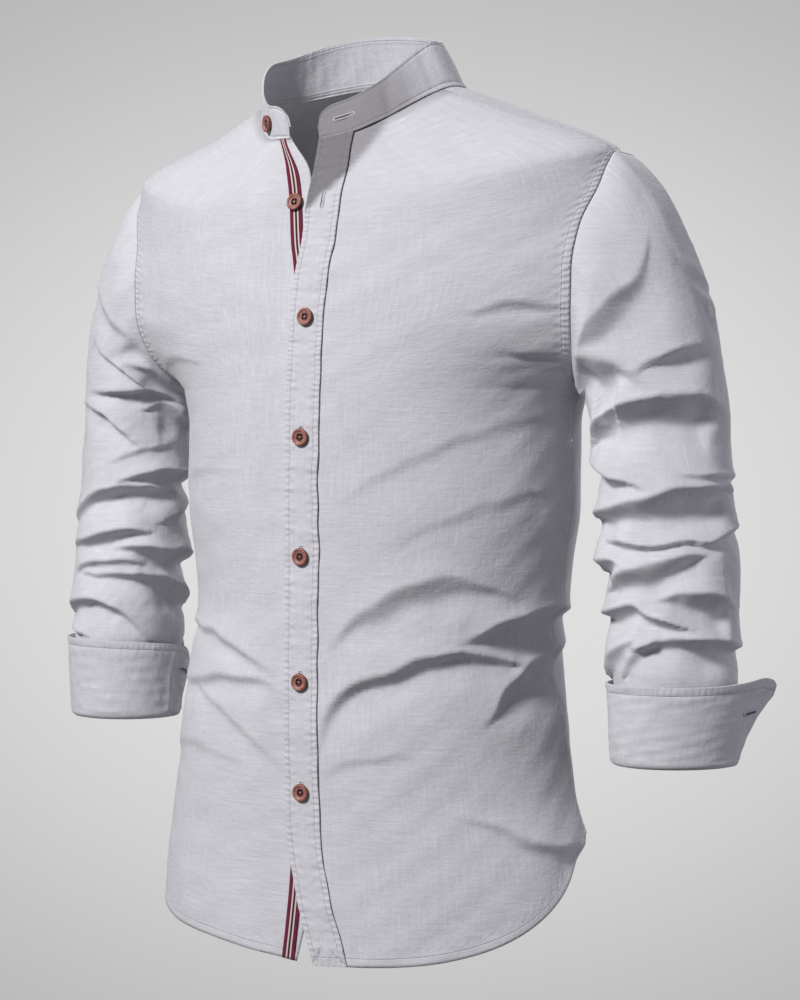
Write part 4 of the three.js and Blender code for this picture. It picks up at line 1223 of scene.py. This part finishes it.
def addButtons():
    middle = body["bandWidth"] / 2
    for index, height in enumerate(buttons["heights"]):
        x = float(frontLine(height)["leftEdge"]) + middle
        place, outward = seatOnFront(x, height, 2 * body["seamGap"] + body["bandWall"])
        makeButton(f"button_placket_{index + 1}", place, outward)
    height = buttons["tapeHeight"]
    x = float(frontLine(height)["tapeCentre"])
    place, outward = seatOnFront(x, height, 2 * body["seamGap"] + 0.8 - body["underlap"])
    makeButton("button_tape", place, outward)
    angle, rise = np.array([buttons["collarAngle"]]), np.array([buttons["collarRise"]])
    outward = -facing(collarPlace, angle, rise, 1, 0.04)
    place = collarPlace(angle, rise) + outward * (collar["proud"] + 0.3)
    makeButton("button_collar", settle(place)[0], outward[0])


addButtons()
print("buttons ready")


# Buttonholes: a worked oval round a slit whose darkness is painted shade

buttonhole = {
    "length": 17.5, "width": 4.4, "slit": 1.15, "thread": 0.7, "stitch": 0.9, "aboveButton": 1.5,
    "onCuffs": {"left": (25, 0.40), "right": (15, 0.36)}, "onCollar": (21, 0.52),
}


def makeButtonhole(name, surface):
    def laid(u, v):
        along, across = (v - 0.5) * buttonhole["length"], (u - 0.5) * buttonhole["width"]
        past = np.maximum(abs(along) - buttonhole["length"] / 2 + buttonhole["width"] / 2, 0)
        out = np.hypot(past, across) / (buttonhole["width"] / 2)
        squeeze = 1 - ease(past, buttonhole["width"] * 0.2, buttonhole["width"] / 2) * 0.65
        ridge = buttonhole["thread"] * gauss(out - 0.55, 0.3) - 0.5 * ease(out, 0.8, 1.1)
        slit = (1 - ease(abs(across), buttonhole["slit"] * 0.5, buttonhole["slit"])) * (past < 0.6)
        place, outward = surface(across * squeeze, along)
        stitches = 0.12 * np.sin(along * 2 * math.pi / buttonhole["stitch"])
        lift = ridge + stitches * (out > 0.3) - 0.3 * slit
        place = place + outward * lift[..., None]
        # Painted shade in the slit, and an even light darkening over the whole buttonhole
        return {"place": settle(place), "clothX": across, "clothY": along, "shade": 0.95 * slit + 0.12,
                "gather": 0.0, "outward": outward}

    piece = layGrid(name, 12, 80, laid)
    return onRoot(piece, "linen", slubLinen)


def addButtonholes():
    made = {"placket_band": [], "collar": [], "cuff_left": [], "cuff_right": []}
    lift = body["seamGap"] + body["bandWall"] + 0.1
    for index, height in enumerate(buttons["heights"] + (buttons["tapeHeight"],)):
        drop = dropAtHeight(height)
        rise = buttonhole["aboveButton"] if index < len(buttons["heights"]) else 0

        def onBand(across, along):
            row = rowAtDrop(drop - along - rise)
            return onLeftFront(lineAt(row)["leftEdge"] + body["bandWidth"] / 2 + across, row, lift)

        made["placket_band"].append(makeButtonhole(f"buttonhole_placket_{index + 1}", onBand))

    def onCollar(across, along):
        fromEnd, middle = buttonhole["onCollar"]
        angle = collarEnd + (fromEnd + along) / collar["perDegree"]
        rise = middle + across / collar["seamHeight"]
        outward = -facing(collarPlace, angle, rise, 1, 0.04)
        return collarPlace(angle, rise) + outward * (collar["proud"] + 0.2), outward

    made["collar"].append(makeButtonhole("buttonhole_collar", onCollar))
    for hand, (fromEnd, down) in buttonhole["onCuffs"].items():
        end, arm = cuffEnds[hand], arms[hand]

        def onCuff(across, along):
            angle = end["visibleAngle"] + end["turn"] * (fromEnd + along) / sleeves["across"]
            share = down + across / arm["cuffHeight"]
            outward = -facing(lambda a, d: cuffPlace(a, d, hand), angle, share, 0.4, 0.01)
            place = cuffPlace(angle, share, hand) + outward * (cuffs["wall"] + 0.35)
            flip = point(arm["side"], 1, 1)
            return place * flip, outward * flip

        made[f"cuff_{hand}"].append(makeButtonhole(f"buttonhole_cuff_{hand}", onCuff))
    return made


holes = addButtonholes()
print("buttonholes ready")


# Studio: a backdrop that glows as painted light, brightest near its middle, a floor, three soft lights and a
# small one inside the neck. Sizes in metres.

backdrop = {
    "behind": 7.0, "middle": -0.54, "halfSize": (4.0, 4.6, 1, 1), "centre": (0.73, 0.73, 0.73, 1),
    "rim": (0.45, 0.45, 0.45, 1), "aside": 0.045, "below": 0.09, "spread": (0.328, 0.328, 0.437),
}
ground = {"height": -2.3, "size": 8, "colour": (0.6, 0.6, 0.6, 1)}
lights = {
    "key": {"azimuth": -43, "elevation": 35, "distance": 6.0, "size": 1.2, "power": 398, "colour": (1, 1, 1)},
    "fill": {"azimuth": 80, "elevation": 8, "distance": 5.0, "size": 2.6, "power": 60,
             "colour": (0.93, 0.91, 1.0)},
    "behind": {"azimuth": 152, "elevation": 16, "distance": 5.0, "size": 2.2, "power": 95,
               "colour": (1, 1, 1)},
}
lightsAim = Vector((0, 0, -0.33))
neckLight = {"power": 0.055, "size": 0.03, "place": (-0.01, -0.045, -0.1)}
room = {"colour": (0.95, 0.94, 1.0, 1), "strength": 0.15}


def makePlane(name, size, turn, place, material):
    form = bmesh.new()
    bmesh.ops.create_grid(form, x_segments=2, y_segments=2, size=size)
    bmesh.ops.transform(form, verts=form.verts, matrix=turn)
    bmesh.ops.translate(form, verts=form.verts, vec=place)
    mesh = meshFrom(form, name)
    mesh.materials.append(material)
    return addObject(name, mesh)


def makeStudio():
    turn = math.radians(view["azimuth"])
    ahead, right = Vector((-math.sin(turn), math.cos(turn), 0)), Vector((math.cos(turn), math.sin(turn), 0))
    middle = ahead * backdrop["behind"] + Vector((0, 0, backdrop["middle"]))
    brightest = middle + right * backdrop["aside"] - Vector((0, 0, backdrop["below"]))
    paper = Shader("paper", Base_Color=(0, 0, 0, 1), Roughness=1, Specular_IOR_Level=0, Emission_Strength=1)
    # Painted light: the backdrop glows, a painted pool of light brightest near the middle that darkens
    # towards the rim
    away = paper.vector("SUBTRACT", paper.objectPlace(), tuple(brightest))
    distance = paper.vector("LENGTH", paper.vector("MULTIPLY", away, backdrop["spread"]), out="Value")
    colour = paper.mixColours(distance.rise(0.2, 1.0), backdrop["centre"], backdrop["rim"])
    glow = paper.finish(Emission_Color=colour)
    stand = Matrix((right, Vector((0, 0, 1)), -ahead)).transposed().to_4x4()
    stand = stand @ Matrix.Diagonal(backdrop["halfSize"])
    screen = makePlane("backdrop", 1, stand, middle, glow)
    pale = Shader("paleFloor", Base_Color=ground["colour"], Roughness=0.9).material
    floor = makePlane("floor", ground["size"], Matrix.Identity(4), (0, 0, ground["height"]), pale)
    floor.visible_diffuse = False


def areaLight(name, azimuth, elevation, distance, size, power, colour):
    data = bpy.data.lights.new(name, "AREA")
    data.shape, data.size, data.size_y = "RECTANGLE", size, size
    data.energy, data.color = power, colour
    turn, lift = math.radians(azimuth + view["azimuth"]), math.radians(elevation)
    away = Vector((math.sin(turn) * math.cos(lift), -math.cos(turn) * math.cos(lift), math.sin(lift)))
    light = addObject(name, data)
    light.location = lightsAim + away * distance
    light.rotation_euler = (-away).to_track_quat("-Z", "Y").to_euler()


def makeLights():
    for name, settings in lights.items():
        areaLight(name, **settings)
    bounce = bpy.data.lights.new("bounce", "POINT")
    bounce.energy, bounce.shadow_soft_size = neckLight["power"], neckLight["size"]
    addObject("bounce", bounce).location = neckLight["place"]
    world = bpy.data.worlds.new("room")
    world.use_nodes = True
    glow = world.node_tree.nodes["Background"]
    glow.inputs[0].default_value, glow.inputs[1].default_value = room["colour"], room["strength"]
    bpy.context.scene.world = world
    bpy.context.scene.view_settings.view_transform = "Standard"


makeStudio()
makeLights()
print("studio ready")

bpy.context.view_layer.update()
